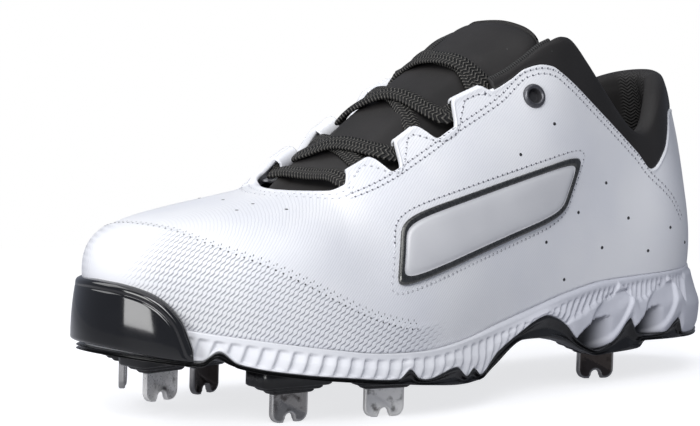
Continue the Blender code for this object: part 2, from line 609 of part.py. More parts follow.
for name, side in (("eyelet_outer", 0), ("eyelet_inner", 1)):
    place = rim_pair(EYELET_X)[side]
    point, normal, across, rise = across_frame(place, EYELET_SHARE)
    plug = []
    for height in (-WALL - 1.2, 3.0):
        turns = np.linspace(0, 2 * math.pi, 16, endpoint=False)
        spokes = [math.cos(a) * across + math.sin(a) * rise for a in turns]
        plug.append([point + EYELET_HOLE * spoke + height * normal for spoke in spokes])
    joined(upper, make(name + "_hole", *stack(plug), (0.8, 0.8, 0.8), 0.5), "DIFFERENCE")
    make(name, *lathed(place, EYELET_SHARE, EYELET_ROWS, 16), (0.25, 0.25, 0.27), 0.35, 1.0)

# Laces: flat bars over the tongue, the crossings joined.
tongue_tree = BVHTree.FromObject(tongue, bpy.context.evaluated_depsgraph_get())


def over_tongue(x, y):
    above = Vector(((x - CENTRE_X) * MM, (y - CENTRE_Y) * MM, 1.0))
    return tongue_tree.ray_cast(above, Vector((0, 0, -1)))[0].z / MM


def lace_strip(start, end):
    """Flat lace from one side to the other, laid on the tongue."""
    (x0, y0), (x1, y1) = start, end
    loops = []
    for u in np.linspace(0, 1, LACE_CUTS):
        x = x0 + (x1 - x0) * u
        y = y0 + (y1 - y0) * u
        front, rear = x + LACE_WIDTH / 2, x - LACE_WIDTH / 2
        low_front = over_tongue(front, y) + LACE_CLEAR
        low_rear = over_tongue(rear, y) + LACE_CLEAR
        lean = np.array([low_rear - low_front, 0.0, LACE_WIDTH])
        lean *= LACE_THICK / np.linalg.norm(lean)
        a = np.array([front, y, low_front])
        b = np.array([rear, y, low_rear])
        tuck = (b - a) * 0.12
        loops.append([a + tuck, a + lean * 0.5, a + lean + tuck, b + lean - tuck, b + lean * 0.5, b - tuck])
    return loft(np.array(loops), False)


for name, strips in LACES.items():
    bodies = [make(name, *lace_strip(start, end), (0.012, 0.012, 0.013), 0.8) for start, end in strips]
    for other in bodies[1:]:
        joined(bodies[0], other, "UNION")

# Side badge: plain raised plate on the outer quarter.
def on_outer_side(x, z):
    """Section and share of the upper's outer side at a place along and a height."""
    s = np.interp(x, TABLE[3:9, 0], KNOTS[3:9])
    t = np.full(len(x), 0.5)
    e = 1e-4
    for _ in range(12):
        here = last_point(s, t)
        by_s = (last_point(s + e, t) - here) / e
        by_t = (last_point(s, t + e) - here) / e
        dx, dz = x - here[:, 0], z - here[:, 2]
        scale = by_s[:, 0] * by_t[:, 2] - by_t[:, 0] * by_s[:, 2]
        s = s + (dx * by_t[:, 2] - dz * by_t[:, 0]) / scale
        t = t + (dz * by_s[:, 0] - dx * by_s[:, 2]) / scale
    return s, t


badge_rings = []
turns = np.linspace(0, 2 * math.pi, 40, endpoint=False)
for shrink, height in BADGE_ROWS:
    u = np.sign(np.cos(turns)) * abs(np.cos(turns)) ** (2 / BADGE_SQUARENESS) * (BADGE_HALF[0] - shrink)
    v = np.sign(np.sin(turns)) * abs(np.sin(turns)) ** (2 / BADGE_SQUARENESS) * (BADGE_HALF[1] - shrink)
    place, share = on_outer_side(BADGE_MIDDLE[0] + u + v * BADGE_SLANT, BADGE_MIDDLE[1] + v - u * BADGE_RISE)
    badge_rings.append(inside(place, share, np.full(len(turns), -height)))
make("side_badge", *stack(badge_rings), (0.45, 0.45, 0.47), 0.3)
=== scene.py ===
# Softball cleat, left shoe: the finished looks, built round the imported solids.
# Sizes are in millimetres, x to the toe, y to the outer side, z up; meshes are written in metres.
import math
import bmesh
import bpy
import numpy as np
from mathutils import Matrix, Vector
from mathutils.bvhtree import BVHTree


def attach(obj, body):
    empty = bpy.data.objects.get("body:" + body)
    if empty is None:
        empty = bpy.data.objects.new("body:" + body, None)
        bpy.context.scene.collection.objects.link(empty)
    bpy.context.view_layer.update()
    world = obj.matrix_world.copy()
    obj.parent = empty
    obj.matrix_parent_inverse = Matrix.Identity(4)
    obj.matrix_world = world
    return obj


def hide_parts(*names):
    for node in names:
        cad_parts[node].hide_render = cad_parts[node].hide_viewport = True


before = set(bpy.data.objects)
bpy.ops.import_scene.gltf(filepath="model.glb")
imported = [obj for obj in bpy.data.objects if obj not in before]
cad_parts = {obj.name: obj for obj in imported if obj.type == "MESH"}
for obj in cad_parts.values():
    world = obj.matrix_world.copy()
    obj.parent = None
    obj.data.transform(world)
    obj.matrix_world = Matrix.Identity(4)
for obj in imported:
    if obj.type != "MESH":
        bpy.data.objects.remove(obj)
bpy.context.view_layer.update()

# Studio: a pale matt floor in an even white surround, lit by four soft panels; the glossy guard
# mirrors the low one before the toe. The camera keeps the photograph's angle.
MM = 0.001
CENTRE = np.array([-1.75, 2.2, 0.0])
VIEW_AZIMUTH = 43.2
VIEW_ELEVATION = 5.1
VIEW_ROLL = 1.6
VIEW_DISTANCE = 915.0
VIEW_TARGET = np.array([17.0, -16.0, 60.0])
FOCAL_PIXELS = 2667.0
FRAME_PIXELS = 700.0
FLOOR_RADIUS = 0.46
FLOOR_CUTS = 64
FLOOR_FADE = (150.0, 400.0)
AIM = (0.0, 0.0, 0.05)
SURROUND_LIGHT = (0.19, 0.205, 0.245)
SOFT_LIGHTS = (
    # name, place in metres, size in metres, power in watts
    ("key", (0.62, -0.62, 1.0), (0.9, 0.9), 7.0),
    ("overhead", (0.1, 0.1, 1.5), (1.4, 1.0), 4.8),
    ("toe_front", (0.8, 0.7, 0.78), (0.6, 0.6), 9.8),
    ("toe_window", (1.2, 0.2, 0.24), (0.44, 0.46), 4.2),
)


class Wire:
    """A value socket that takes part in arithmetic, each step adding one Math node."""

    def __init__(self, nodes, socket):
        self.nodes = nodes
        self.socket = socket

    def step(self, operation, *terms):
        return self.nodes.node("ShaderNodeMath", {"operation": operation}, *terms)

    def __add__(self, other):
        return self.step("ADD", self, other)

    def __sub__(self, other):
        return self.step("SUBTRACT", self, other)

    def __rsub__(self, other):
        return self.step("SUBTRACT", other, self)

    def __mul__(self, other):
        return self.step("MULTIPLY", self, other)

    def __truediv__(self, other):
        return self.step("DIVIDE", self, other)

    __radd__ = __add__
    __rmul__ = __mul__

    def wave(self):
        """Sine of the value, one turn for each whole number."""
        return self.step("SINE", self * (2 * math.pi))

    def fold(self, reach):
        """Triangle wave that climbs to reach and comes back."""
        return self.step("PINGPONG", self, reach)

    def root(self):
        return self.step("SQRT", self)

    def between(self, low, high):
        """Smooth rise from 0 at low to 1 at high."""
        settings = {"interpolation_type": "SMOOTHSTEP"}
        return self.nodes.node("ShaderNodeMapRange", settings, self, low, high, 0.0, 1.0)


class Nodes:
    """A node tree whose nodes all come from one method."""

    def __init__(self, tree):
        self.tree = tree

    def plug(self, socket, value):
        if isinstance(value, Wire):
            self.tree.links.new(value.socket, socket)
        elif hasattr(socket.default_value, "__len__") and len(value) < len(socket.default_value):
            socket.default_value = (*value, 1.0)
        else:
            socket.default_value = value

    def node(self, kind, settings, *values, output=0, numbered=(), **named):
        """A new node: its settings first, then its sockets in order, by number and by name."""
        made = self.tree.nodes.new(kind)
        for key, value in settings.items():
            setattr(made, key, value)
        for index, value in (*enumerate(values), *numbered):
            self.plug(made.inputs[index], value)
        for key, value in named.items():
            self.plug(made.inputs[key.replace("_", " ")], value)
        return Wire(self, made.outputs[output])

    def blend(self, share, first, second):
        """Colour between two colours."""
        colours = ((6, first), (7, second))
        return self.node("ShaderNodeMix", {"data_type": "RGBA"}, share, numbered=colours, output=2)


class Finish(Nodes):
    """A material on the Principled shader; its constants are set on the shader's own sockets."""

    def __init__(self, name, **constants):
        self.material = bpy.data.materials.new(name)
        self.material.use_nodes = True
        super().__init__(self.material.node_tree)
        self.shader = self.tree.nodes["Principled BSDF"]
        metres = self.node("ShaderNodeTexCoord", {}, output=3)
        self.spot = self.node("ShaderNodeVectorMath", {"operation": "SCALE"}, metres, Scale=1 / MM)
        self.cover(**constants)

    def cover(self, **sockets):
        for key, value in sockets.items():
            self.plug(self.shader.inputs[key.replace("_", " ")], value)

    def shade(self, share, first, second, **sockets):
        """Base colour between two tones, and other sockets."""
        self.cover(Base_Color=self.blend(share, first, second), **sockets)

    def along(self, direction):
        """Object coordinates in millimetres, measured along a direction."""
        return self.node("ShaderNodeVectorMath", {"operation": "DOT_PRODUCT"}, self.spot, direction, output=1)

    def noise(self, scale, detail=3.0):
        return self.node("ShaderNodeTexNoise", {}, Vector=self.spot, Scale=scale, Detail=detail)

    def trait(self, name):
        """A number that the mesh carries at each point."""
        return self.node("ShaderNodeAttribute", {"attribute_name": name}, output=2)

    def relief(self, height, strength=1.0):
        """Bump whose height is given in millimetres."""
        self.cover(Normal=self.node("ShaderNodeBump", {}, Strength=strength, Distance=MM, Height=height))


def build(name, points, faces, finishes, traits=(), face_finish=None):
    """A smooth mesh piece at the origin, from points in millimetres, with numbers at its points."""
    mesh = bpy.data.meshes.new(name)
    mesh.from_pydata(((np.asarray(points) - CENTRE) * MM).tolist(), [], [list(map(int, f)) for f in faces])
    for finish in finishes:
        mesh.materials.append(finish.material)
    if face_finish is not None:
        mesh.polygons.foreach_set("material_index", np.asarray(face_finish, np.int32))
    for key, values in dict(traits).items():
        field = mesh.attributes.new(key, "FLOAT", "POINT")
        field.data.foreach_set("value", np.asarray(values, np.float32))
    body = bmesh.new()
    body.from_mesh(mesh)
    bmesh.ops.recalc_face_normals(body, faces=body.faces)
    body.to_mesh(mesh)
    body.free()
    mesh.shade_smooth()
    return shown(name, mesh)


def shown(name, data):
    """An object of the scene at the origin."""
    thing = bpy.data.objects.new(name, data)
    bpy.context.scene.collection.objects.link(thing)
    return thing


def settle(piece, slot, *nodes):
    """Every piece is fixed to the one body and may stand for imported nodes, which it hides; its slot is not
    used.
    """
    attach(piece, "root")
    if nodes:
        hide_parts(*nodes)
    return piece


floor_paint = Finish("floor_paint", Base_Color=(0.86, 0.86, 0.87), Roughness=0.85, Emission_Strength=1.0)
away = floor_paint.node("ShaderNodeVectorMath", {"operation": "LENGTH"}, floor_paint.spot, output=1)
away = away.between(*FLOOR_FADE)
seen = floor_paint.node("ShaderNodeLightPath", {})
near_tone = floor_paint.blend(floor_paint.noise(0.01), (0.4, 0.4, 0.41), (0.44, 0.44, 0.45))
near_tone = floor_paint.blend(seen, (0.3, 0.3, 0.31), near_tone)
near_glow = floor_paint.blend(seen, (0.115, 0.119, 0.138), (0.74, 0.745, 0.76))
far_glow = floor_paint.blend(seen, (0.2, 0.21, 0.24), (1.0, 1.0, 1.0))
floor_paint.cover(Base_Color=floor_paint.blend(away, near_tone, (0.0, 0.0, 0.0)),
                  Emission_Color=floor_paint.blend(away, near_glow, far_glow))
turns = np.linspace(0, 2 * math.pi, FLOOR_CUTS, endpoint=False)
rim = np.column_stack([np.cos(turns), np.sin(turns), 0 * turns]) * FLOOR_RADIUS / MM
build("floor", rim, [range(FLOOR_CUTS)], [floor_paint])

world = bpy.data.worlds.new("surround")
world.use_nodes = True
bpy.context.scene.world = world
sky = Nodes(world.node_tree)
tint = sky.blend(sky.node("ShaderNodeLightPath", {}), SURROUND_LIGHT, (1.0, 1.0, 1.0))
sky.plug(sky.tree.nodes["Background"].inputs["Color"], tint)
bpy.context.scene.view_settings.view_transform = "Standard"

for label, place, size, power in SOFT_LIGHTS:
    lamp = bpy.data.lights.new(label, "AREA")
    lamp.shape = "RECTANGLE"
    lamp.size, lamp.size_y = size
    lamp.energy = power
    holder = shown(label, lamp)
    holder.location = place
    holder.rotation_euler = (Vector(AIM) - holder.location).to_track_quat("-Z", "Y").to_euler()

azimuth = math.radians(VIEW_AZIMUTH)
elevation = math.radians(VIEW_ELEVATION)
roll = math.radians(VIEW_ROLL)
flat = math.cos(elevation)
back = Vector((math.sin(azimuth) * flat, math.cos(azimuth) * flat, math.sin(elevation)))
level = (-back).cross(Vector((0, 0, 1))).normalized()
upright = level.cross(-back)
right = math.cos(roll) * level + math.sin(roll) * upright
up = math.cos(roll) * upright - math.sin(roll) * level
pose = Matrix((right, up, back)).transposed().to_4x4()
pose.translation = (Vector(VIEW_TARGET - CENTRE) + back * VIEW_DISTANCE) * MM
lens = bpy.data.cameras.new("camera")
lens.sensor_width = 36.0
lens.lens = FOCAL_PIXELS / FRAME_PIXELS * lens.sensor_width
camera = shown("camera", lens)
camera.matrix_world = pose
bpy.context.scene.camera = camera

# Upper: one moulded shell of white synthetic leather on the last, open at the throat and the
# collar. Its toe cap is a thicker ribbed layer, and its lacing tabs are folded at the rim.
WALL = 2.2
RIM_BEAD = 0.3
RIM_BEAD_DROP = 1.1
RIM_BEAD_HALF = 0.8
EYELET_X = -25.0
EYELET_SHARE = 0.842
EYELET_SEAT = 2.6
EYELET_SEAT_RADIUS = 3.3
CAP_STEP = 0.45
CAP_STEP_RUN = ((34, 0.0), (50, 1.0))
CAP_RIBS_RUN = ((30, 0.0), (52, 1.0))
AROUND = 820
UPPER_ROWS = 82
EDGE_ROWS = 12
EDGE_FROM = 0.93
TAB_STRETCH = (-14.0, 52.0)
TAB_CLOSENESS = 3.2
LINING_ROWS = 12
EVEN_CUTS = 4000
RIM_TURNS = 6
# One row per section round the shoe from the heel by the outer side: where the upper meets the
# sole, the opening's rim, the leans of the rib between them in degrees, and its handle shares.
SECTIONS = {
    "heel_back": (-132.5, 1.0, -117.5, 0.5, 110.5, 0, 30, 0.34, 0.34),
    "heel_corner_outer": (-123.0, 17.5, -110.0, 13.5, 108.0, 4, 12, 0.34, 0.34),
    "heel_side_outer": (-99.0, 31.0, -93.0, 25.5, 97.0, 8, 14, 0.36, 0.34),
    "ankle_outer": (-72.0, 33.0, -75.0, 29.0, 91.5, 6, 8, 0.35, 0.35),
    "collar_front_outer": (-44.0, 34.0, -44.0, 27.0, 121.5, 4, 12, 0.35, 0.35),
    "eyestay_top_outer": (-18.0, 36.5, -22.0, 24.0, 113.0, 4, 22, 0.35, 0.35),
    "eyestay_mid_outer": (8.0, 41.0, 4.0, 19.0, 101.5, 4, 34, 0.35, 0.35),
    "eyestay_front_outer": (34.0, 46.0, 28.0, 17.0, 88.5, 4, 44, 0.34, 0.38),
    "ball_outer": (60.0, 47.0, 49.0, 14.5, 78.5, 6, 54, 0.34, 0.42),
    "toe_side_outer": (92.0, 39.0, 52.5, 7.0, 74.0, 12, 70, 0.38, 0.60),
    "toe_corner_outer": (117.0, 20.0, 53.5, 1.5, 73.0, 15, 76, 0.40, 0.70),
    "toe_tip": (130.5, -6.0, 54.0, -3.5, 72.7, 16, 77, 0.41, 0.72),
    "toe_corner_inner": (120.5, -25.5, 54.0, -8.5, 73.0, 16, 76, 0.41, 0.70),
    "toe_side_inner": (100.0, -38.0, 53.5, -14.0, 74.0, 12, 70, 0.39, 0.60),
    "ball_inner": (68.0, -43.0, 51.0, -21.0, 78.5, 6, 52, 0.35, 0.42),
    "eyestay_front_inner": (34.0, -38.0, 28.0, -23.5, 89.5, 4, 40, 0.35, 0.38),
    "eyestay_mid_inner": (8.0, -33.0, 4.0, -24.5, 102.0, 2, 28, 0.35, 0.35),
    "eyestay_top_inner": (-18.0, -30.0, -22.0, -26.0, 113.0, 4, 18, 0.35, 0.35),
    "collar_front_inner": (-44.0, -29.5, -44.0, -27.0, 121.5, 6, 12, 0.35, 0.35),
    "ankle_inner": (-72.0, -30.0, -75.0, -28.0, 92.0, 6, 8, 0.35, 0.35),
    "heel_side_inner": (-99.0, -28.5, -93.0, -24.5, 97.0, 8, 14, 0.36, 0.34),
    "heel_corner_inner": (-123.0, -15.5, -110.0, -12.5, 108.0, 4, 12, 0.34, 0.34),
}
FEATHER_LINE = ((-140, 39.0), (-100, 38.6), (-60, 37.4), (-40, 34.6), (-20, 30.6), (0, 27.0),
                (20, 23.6), (40, 22.0), (60, 22.6), (80, 25.0), (100, 28.0), (118, 31.0), (140, 36.0))
QUARTER_LINE = ((-140, 96.0), (-116, 96.0), (-108, 94.4), (-103.5, 90.5), (-93.5, 81.0), (-85.6, 76.0),
                (-78.3, 82.4), (-70.5, 88.3), (-54.5, 99.5), (-38.9, 110.2), (-34.4, 112.8), (-30.2, 113.4),
                (-24, 112.0), (-18, 108.3), (-9.4, 104.2), (-6, 103.4))
CAP_LINE = ((-140, 0.12), (45, 0.12), (62, 0.17), (87, 0.28), (108, 0.38), (125, 0.46), (132, 0.55))
# Lacing tabs: back and front along the rim, length of the ramp behind and depth of the notch there.
# The throat is cut down in front of the first tab.
TABS = ((39.7, 49.0, 4.2, 8.8), (20.7, 29.4, 5.6, 8.8), (-7.4, 4.8, 2.0, 3.0))
NOTCH_FRONT_RAMP = 2.2
NOTCH_ROUND = 1.2
THROAT_CUT = 4.5
THROAT_RAMP = 1.4
# Soft troughs pressed into the vamp and quarter: two ends as station and share, depth and half width.
CREASES = (
    (0.385, 0.62, 0.440, 0.80, 0.08, 7.0),
    (0.360, 0.42, 0.405, 0.66, 0.08, 8.0),
    (0.615, 0.80, 0.655, 0.45, 0.22, 6.5),
    (0.300, 0.30, 0.345, 0.52, 0.1, 9.0),
    (0.690, 0.55, 0.640, 0.30, 0.18, 8.0),
    (0.105, 0.30, 0.150, 0.46, 0.20, 10.0),
    (0.895, 0.46, 0.850, 0.30, 0.22, 10.0),
)
WHITE = (0.80, 0.81, 0.85)
WHITE_BRIGHT = (0.86, 0.865, 0.885)
# Grey of the vamp's hairlines; in the toe cap's rib grooves the same grey is painted shade.
LINE_AND_GROOVE_SHADE_GREY = (0.33, 0.335, 0.38)
# Ribs of the toe cap and hairlines of the vamp are cut by slanting planes, mirrored about the toe's middle.
TOE_MIDDLE = -4.0
TOE_ROUND = 5.0
RIB_PLANE = (0.42, -0.68, 0.6)
RIB_ALONG = (-0.75, 0.34, 0.57)
RIB_PITCH = 1.2
RIB_STEP = 2.5
RIB_FADE = (5.0, 21.0)
HAIRLINE_PLANE = (0.655, -0.3, 0.69)
HAIRLINE_PITCH = 0.8
HAIRLINE_ZONE = ((-70, 0.0), (-20, 0.6), (40, 1.0))


def hermite(u, first, second, leave, arrive):
    """Cubic from one value to the next with given slopes at both."""
    value = (1 + 2 * u) * (1 - u) ** 2 * first + u * u * (3 - 2 * u) * second
    return value + u * (1 - u) ** 2 * leave + u * u * (u - 1) * arrive


def profile(table, at):
    """Smooth curve through a table of places and values that never overshoots them."""
    x, y = np.array(table, float).T
    h = np.diff(x)
    slope = np.diff(y) / h
    tangent = np.zeros(len(x))
    for i in range(1, len(x) - 1):
        if slope[i - 1] * slope[i] > 0:
            w1 = 2 * h[i] + h[i - 1]
            w2 = h[i] + 2 * h[i - 1]
            tangent[i] = (w1 + w2) / (w1 / slope[i - 1] + w2 / slope[i])
    tangent[0] = slope[0]
    tangent[-1] = slope[-1]
    at = np.clip(np.asarray(at, float), x[0], x[-1])
    k = np.clip(np.searchsorted(x, at, side="right") - 1, 0, len(h) - 1)
    u = (at - x[k]) / h[k]
    return hermite(u, y[k], y[k + 1], h[k] * tangent[k], h[k] * tangent[k + 1])


def closed_spline(knots, values, at):
    """Cubic spline through values at knots, closed after one turn of 1."""
    n = len(knots)
    h = np.diff(np.append(knots, knots[0] + 1.0))
    rise = np.roll(values, -1, axis=0) - values
    matrix = np.zeros((n, n))
    right_side = np.zeros_like(values)
    for i in range(n):
        matrix[i, i - 1] = 1 / h[i - 1]
        matrix[i, i] = 2 / h[i - 1] + 2 / h[i]
        matrix[i, (i + 1) % n] = 1 / h[i]
        right_side[i] = 3 * (rise[i - 1] / h[i - 1] ** 2 + rise[i] / h[i] ** 2)
    slope = np.linalg.solve(matrix, right_side)
    at = np.mod(np.asarray(at, float) - knots[0], 1.0) + knots[0]
    k = np.clip(np.searchsorted(knots, at, side="right") - 1, 0, n - 1)
    nxt = (k + 1) % n
    u = ((at - knots[k]) / h[k])[..., None]
    step = h[k][..., None]
    return hermite(u, values[k], values[nxt], step * slope[k], step * slope[nxt])


def run_length(points):
    """Distance along a line of points from its start."""
    return np.concatenate([[0.0], np.cumsum(np.linalg.norm(np.diff(points, axis=0), axis=1))])


TABLE = np.array(list(SECTIONS.values()), float)
LAP = run_length(np.vstack([TABLE[:, :2], TABLE[:1, :2]]))
GIRTH = LAP[-1]
KNOTS = LAP[:-1] / GIRTH
STATION = dict(zip(SECTIONS, KNOTS))
UP = np.array([0.0, 0.0, 1.0])
NUDGE = 1e-4


def unit(vectors):
    """The same directions at length 1."""
    return vectors / np.linalg.norm(vectors, axis=-1, keepdims=True)


def outline(s):
    """Plan of the feather line and its outward direction."""
    s = np.asarray(s, float)
    place = closed_spline(KNOTS, TABLE[:, :2], s)
    run = closed_spline(KNOTS, TABLE[:, :2], s + NUDGE) - closed_spline(KNOTS, TABLE[:, :2], s - NUDGE)
    run = unit(run)
    return place, np.stack([-run[..., 1], run[..., 0]], axis=-1)


def shell(s, t):
    """Outer face of the upper: s round the shoe, t from the sole to the opening's rim."""
    s, t = np.broadcast_arrays(s, t)
    t = t[..., None]
    row = closed_spline(KNOTS, TABLE, s)
    place, out = outline(s)
    away = np.concatenate([out, np.zeros_like(out[..., :1])], axis=-1)
    foot = np.concatenate([place, profile(FEATHER_LINE, place[..., 0])[..., None]], axis=-1)
    edge = row[..., 2:5]
    reach = np.linalg.norm(edge - foot, axis=-1, keepdims=True)
    low = np.radians(row[..., 5:6])
    high = np.radians(row[..., 6:7])
    first = foot + reach * row[..., 7:8] * (np.sin(low) * away + np.cos(low) * UP)
    second = edge - reach * row[..., 8:9] * (np.cos(high) * UP - np.sin(high) * away)
    return foot * (1 - t) ** 3 + 3 * first * t * (1 - t) ** 2 + 3 * second * t * t * (1 - t) + edge * t ** 3


def shell_out(s, t):
    """Outward direction of the upper's face."""
    t = np.clip(t, 0.002, 0.998)
    across = shell(np.asarray(s) + NUDGE, t) - shell(np.asarray(s) - NUDGE, t)
    return unit(np.cross(shell(s, t + NUDGE) - shell(s, t - NUDGE), across))


def inside(s, t, depth):
    """Face of the upper moved inwards by a depth."""
    return shell(s, t) - np.asarray(depth, float)[..., None] * shell_out(s, t)


def chord(s, cuts=25):
    """Length of the rib at each station, from the sole to the rim."""
    rib = shell(np.asarray(s, float)[..., None], np.linspace(0, 1, cuts))
    return np.linalg.norm(np.diff(rib, axis=-2), axis=-1).sum(axis=-1)


def ease(value):
    """Smooth rise from 0 to 1."""
    value = np.clip(value, 0, 1)
    return value * value * (3 - 2 * value)


def lacing_cut(x):
    """Depth of the throat and of the notches between the lacing tabs, at places along the rim."""
    cut = THROAT_CUT * ease((x - TABS[0][1]) / THROAT_RAMP)
    next_fronts = [front for _, front, _, _ in TABS[1:]] + [-np.inf]
    for (tab_back, _, ramp, depth), next_front in zip(TABS, next_fronts):
        notch = np.minimum(ease((tab_back - x) / ramp), ease((x - next_front) / NOTCH_FRONT_RAMP))
        cut = np.maximum(cut, depth * notch)
    return cut


def rim_share(s, rounding=NOTCH_ROUND, levels=401):
    """Share of the rib where the white upper ends, with round-cornered notches between its lacing tabs."""
    s = np.mod(s, 1.0)
    x = shell(s, 1.0)[:, 0]
    cuts = [lacing_cut(x + shift) for shift in np.linspace(-rounding, rounding, 9)]
    tabs = 1 - np.mean(cuts, axis=0) / chord(s)
    t = np.linspace(1.0, 0.0, levels)
    grid = shell(s[:, None], t)
    over = grid[..., 2] - profile(QUARTER_LINE, grid[..., 0])
    first = np.argmax(over <= 0, axis=1)
    here = np.arange(len(s))
    above = over[here, np.maximum(first - 1, 0)]
    below = over[here, first]
    quarter = t[first] - (t[1] - t[0]) * below / np.minimum(below - above, -1e-9) * (first > 0)
    return np.where(x < TABS[-1][0] - TABS[-1][2], np.minimum(quarter, 1.0), tabs)


def rim_station(along, side, cuts=1500):
    """Station on the outer or the inner side whose rim lies at a place along the shoe."""
    run = np.linspace(STATION["collar_front_" + side], STATION["ball_" + side], cuts)
    x = shell(run, 1.0)[:, 0]
    order = np.argsort(x)
    return np.interp(along, x[order], run[order])


def eyelet_place(side, depth=0.0):
    """Middle of an eyelet at a depth under the upper's face, and the outward direction there."""
    station = rim_station(EYELET_X, side)
    return inside(station, EYELET_SHARE, depth), shell_out(station, EYELET_SHARE)


def loops_to_faces(count, around, closed=False):
    """Quads between neighbouring closed loops, joined end to end or capped."""
    i = np.arange(count if closed else count - 1)[:, None]
    k = np.arange(around)[None, :]
    j = (i + 1) % count
    m = (k + 1) % around
    quads = np.stack([i * around + k, i * around + m, j * around + m, j * around + k], axis=-1).reshape(-1, 4)
    faces = quads.tolist()
    if not closed:
        faces.append(list(range(around)))
        faces.append([(count - 1) * around + k for k in reversed(range(around))])
    return faces


def near_line(u, v, ends):
    """Distance from chart places to a straight stretch."""
    u0, v0, u1, v1 = ends
    du, dv = u1 - u0, v1 - v0
    share = np.clip(((u - u0) * du + (v - v0) * dv) / (du * du + dv * dv), 0, 1)
    return np.hypot(u - u0 - share * du, v - v0 - share * dv)


def pressed(s, t):
    """Relief of the upper's face in millimetres: its toe cap stands out, its creases sink."""
    plan = outline(s)[0]
    cap = profile(CAP_LINE, plan[..., 0])
    raised = CAP_STEP * ease((cap - t) / 0.014 + 0.5) * profile(CAP_STEP_RUN, plan[..., 0])
    v = t * chord(s)
    for s0, t0, s1, t1, depth, width in CREASES:
        reach = chord(np.array([s0, s1]))
        away = near_line(s * GIRTH, v, (s0 * GIRTH, t0 * reach[0], s1 * GIRTH, t1 * reach[1]))
        trough = np.exp(-(away / width) ** 2)
        ridge = np.exp(-((away - 1.8 * width) / width) ** 2)
        raised = raised - depth * trough + 0.4 * depth * ridge
    return raised


white_leather = Finish("white_leather", Base_Color=WHITE, Roughness=0.46,
                       Coat_Weight=0.05, Coat_Roughness=0.3)
cap_zone = white_leather.trait("toe_cap")
vamp_zone = white_leather.trait("vamp")
beside = white_leather.along((0.0, 1.0, 0.0)) - (TOE_MIDDLE - CENTRE[1])
beside = (beside * beside + TOE_ROUND ** 2).root()


def mirrored(direction):
    """Distance along a direction that is mirrored about the toe's middle."""
    x, y, z = direction
    return white_leather.along((x, 0.0, z)) + beside * y


rib_run = mirrored(RIB_PLANE)
rib_count = mirrored(RIB_ALONG) / RIB_STEP + rib_run * 0.31
rib_line = ((rib_run + rib_count.wave() * 0.15) / RIB_PITCH).wave()
dash = (rib_count + 0.2).wave() * 0.32
cap_groove = (rib_line + dash).between(0.25, 1.0) * cap_zone
hair_count = mirrored(HAIRLINE_PLANE) / HAIRLINE_PITCH + white_leather.noise(0.4, 1.0) * 0.5
hairline = hair_count.wave().between(0.2, 1.0) * vamp_zone
pebble = white_leather.noise(2.6, 4.0)
cloud = white_leather.noise(0.03, 2.0).between(0.3, 0.7)
tone = white_leather.blend(cloud, WHITE, WHITE_BRIGHT)
# Painted shade: the toe cap's rib grooves are darkened towards grey, as shade in their hollows.
tone = white_leather.blend(cap_groove * 0.82, tone, LINE_AND_GROOVE_SHADE_GREY)
tone = white_leather.blend(hairline * 0.2, tone, LINE_AND_GROOVE_SHADE_GREY)
white_leather.cover(Base_Color=tone, Roughness=0.42 + pebble * 0.14 + cap_groove * 0.2)
white_leather.relief(pebble * 0.05 - cap_groove * 0.2 - hairline * 0.03, 0.9)

grey_lining = Finish("grey_lining", Base_Color=(0.05, 0.05, 0.055), Roughness=0.9)
weave = grey_lining.along((1.1, 0.3, 0.4)).wave() * grey_lining.along((0.2, 0.4, 1.1)).wave()
grey_lining.shade(weave * 0.5 + 0.5, (0.03, 0.03, 0.034), (0.075, 0.075, 0.08))
grey_lining.relief(weave * 0.12)

even = np.linspace(0, 1, EVEN_CUTS)
even_x = shell(even, 1.0)[:, 0]
by_tabs = (even_x > TAB_STRETCH[0]) & (even_x < TAB_STRETCH[1])
closeness = np.cumsum(np.where(by_tabs, TAB_CLOSENESS, 1.0))
s = np.interp(np.linspace(closeness[0], closeness[-1], AROUND, endpoint=False), closeness, even)
rib_reach = chord(s)
top = rim_share(s) - 0.5 * WALL / rib_reach
rows = np.concatenate([np.linspace(0, EDGE_FROM, UPPER_ROWS - EDGE_ROWS, endpoint=False),
                       np.linspace(EDGE_FROM, 1, EDGE_ROWS)])
shares = rows * top[:, None]
across = s[:, None]
edge_gap = (rim_share(s)[:, None] - shares) * rib_reach[:, None]
rim_bead = RIM_BEAD * np.exp(-((edge_gap - RIM_BEAD_DROP) / RIM_BEAD_HALF) ** 2)
face = inside(across, shares, -pressed(across, shares) - rim_bead)
for side in ("outer", "inner"):
    near = np.linalg.norm(face - eyelet_place(side)[0], axis=2)
    face = face - EYELET_SEAT * ease(EYELET_SEAT_RADIUS - near)[..., None] * shell_out(across, shares)
turn = np.linspace(0, math.pi, RIM_TURNS + 2)[1:-1]
lift = top[:, None] + 0.5 * WALL * np.sin(turn) / rib_reach[:, None]
fold = inside(across, lift, 0.5 * WALL * (1 - np.cos(turn)))
lining = inside(across, np.linspace(1, 0, LINING_ROWS) * top[:, None], WALL)
lining[:, -1, 2] = face[:, 0, 2]
loop = np.concatenate([face, fold, lining], axis=1)
plan = outline(across)[0]
cap_share = profile(CAP_LINE, plan[..., 0])
on_cap = ease((cap_share - shares) / 0.03 + 0.2) * profile(CAP_RIBS_RUN, plan[..., 0])
ribbed = on_cap * ease((np.abs(face[..., 1] - TOE_MIDDLE) - RIB_FADE[0]) / (RIB_FADE[1] - RIB_FADE[0]))
leaning = shell_out(across, shares)
leaning[..., 1] = np.abs(leaning[..., 1])
facing = np.abs(leaning @ np.array(HAIRLINE_PLANE))
on_vamp = (1 - on_cap) * profile(HAIRLINE_ZONE, plan[..., 0])
on_vamp = on_vamp * ease((0.9 - facing) / 0.25)
spare = np.zeros((AROUND, RIM_TURNS + LINING_ROWS))
faces = loops_to_faces(AROUND, loop.shape[1], closed=True)
row_of_face = np.arange(len(faces)) % loop.shape[1]
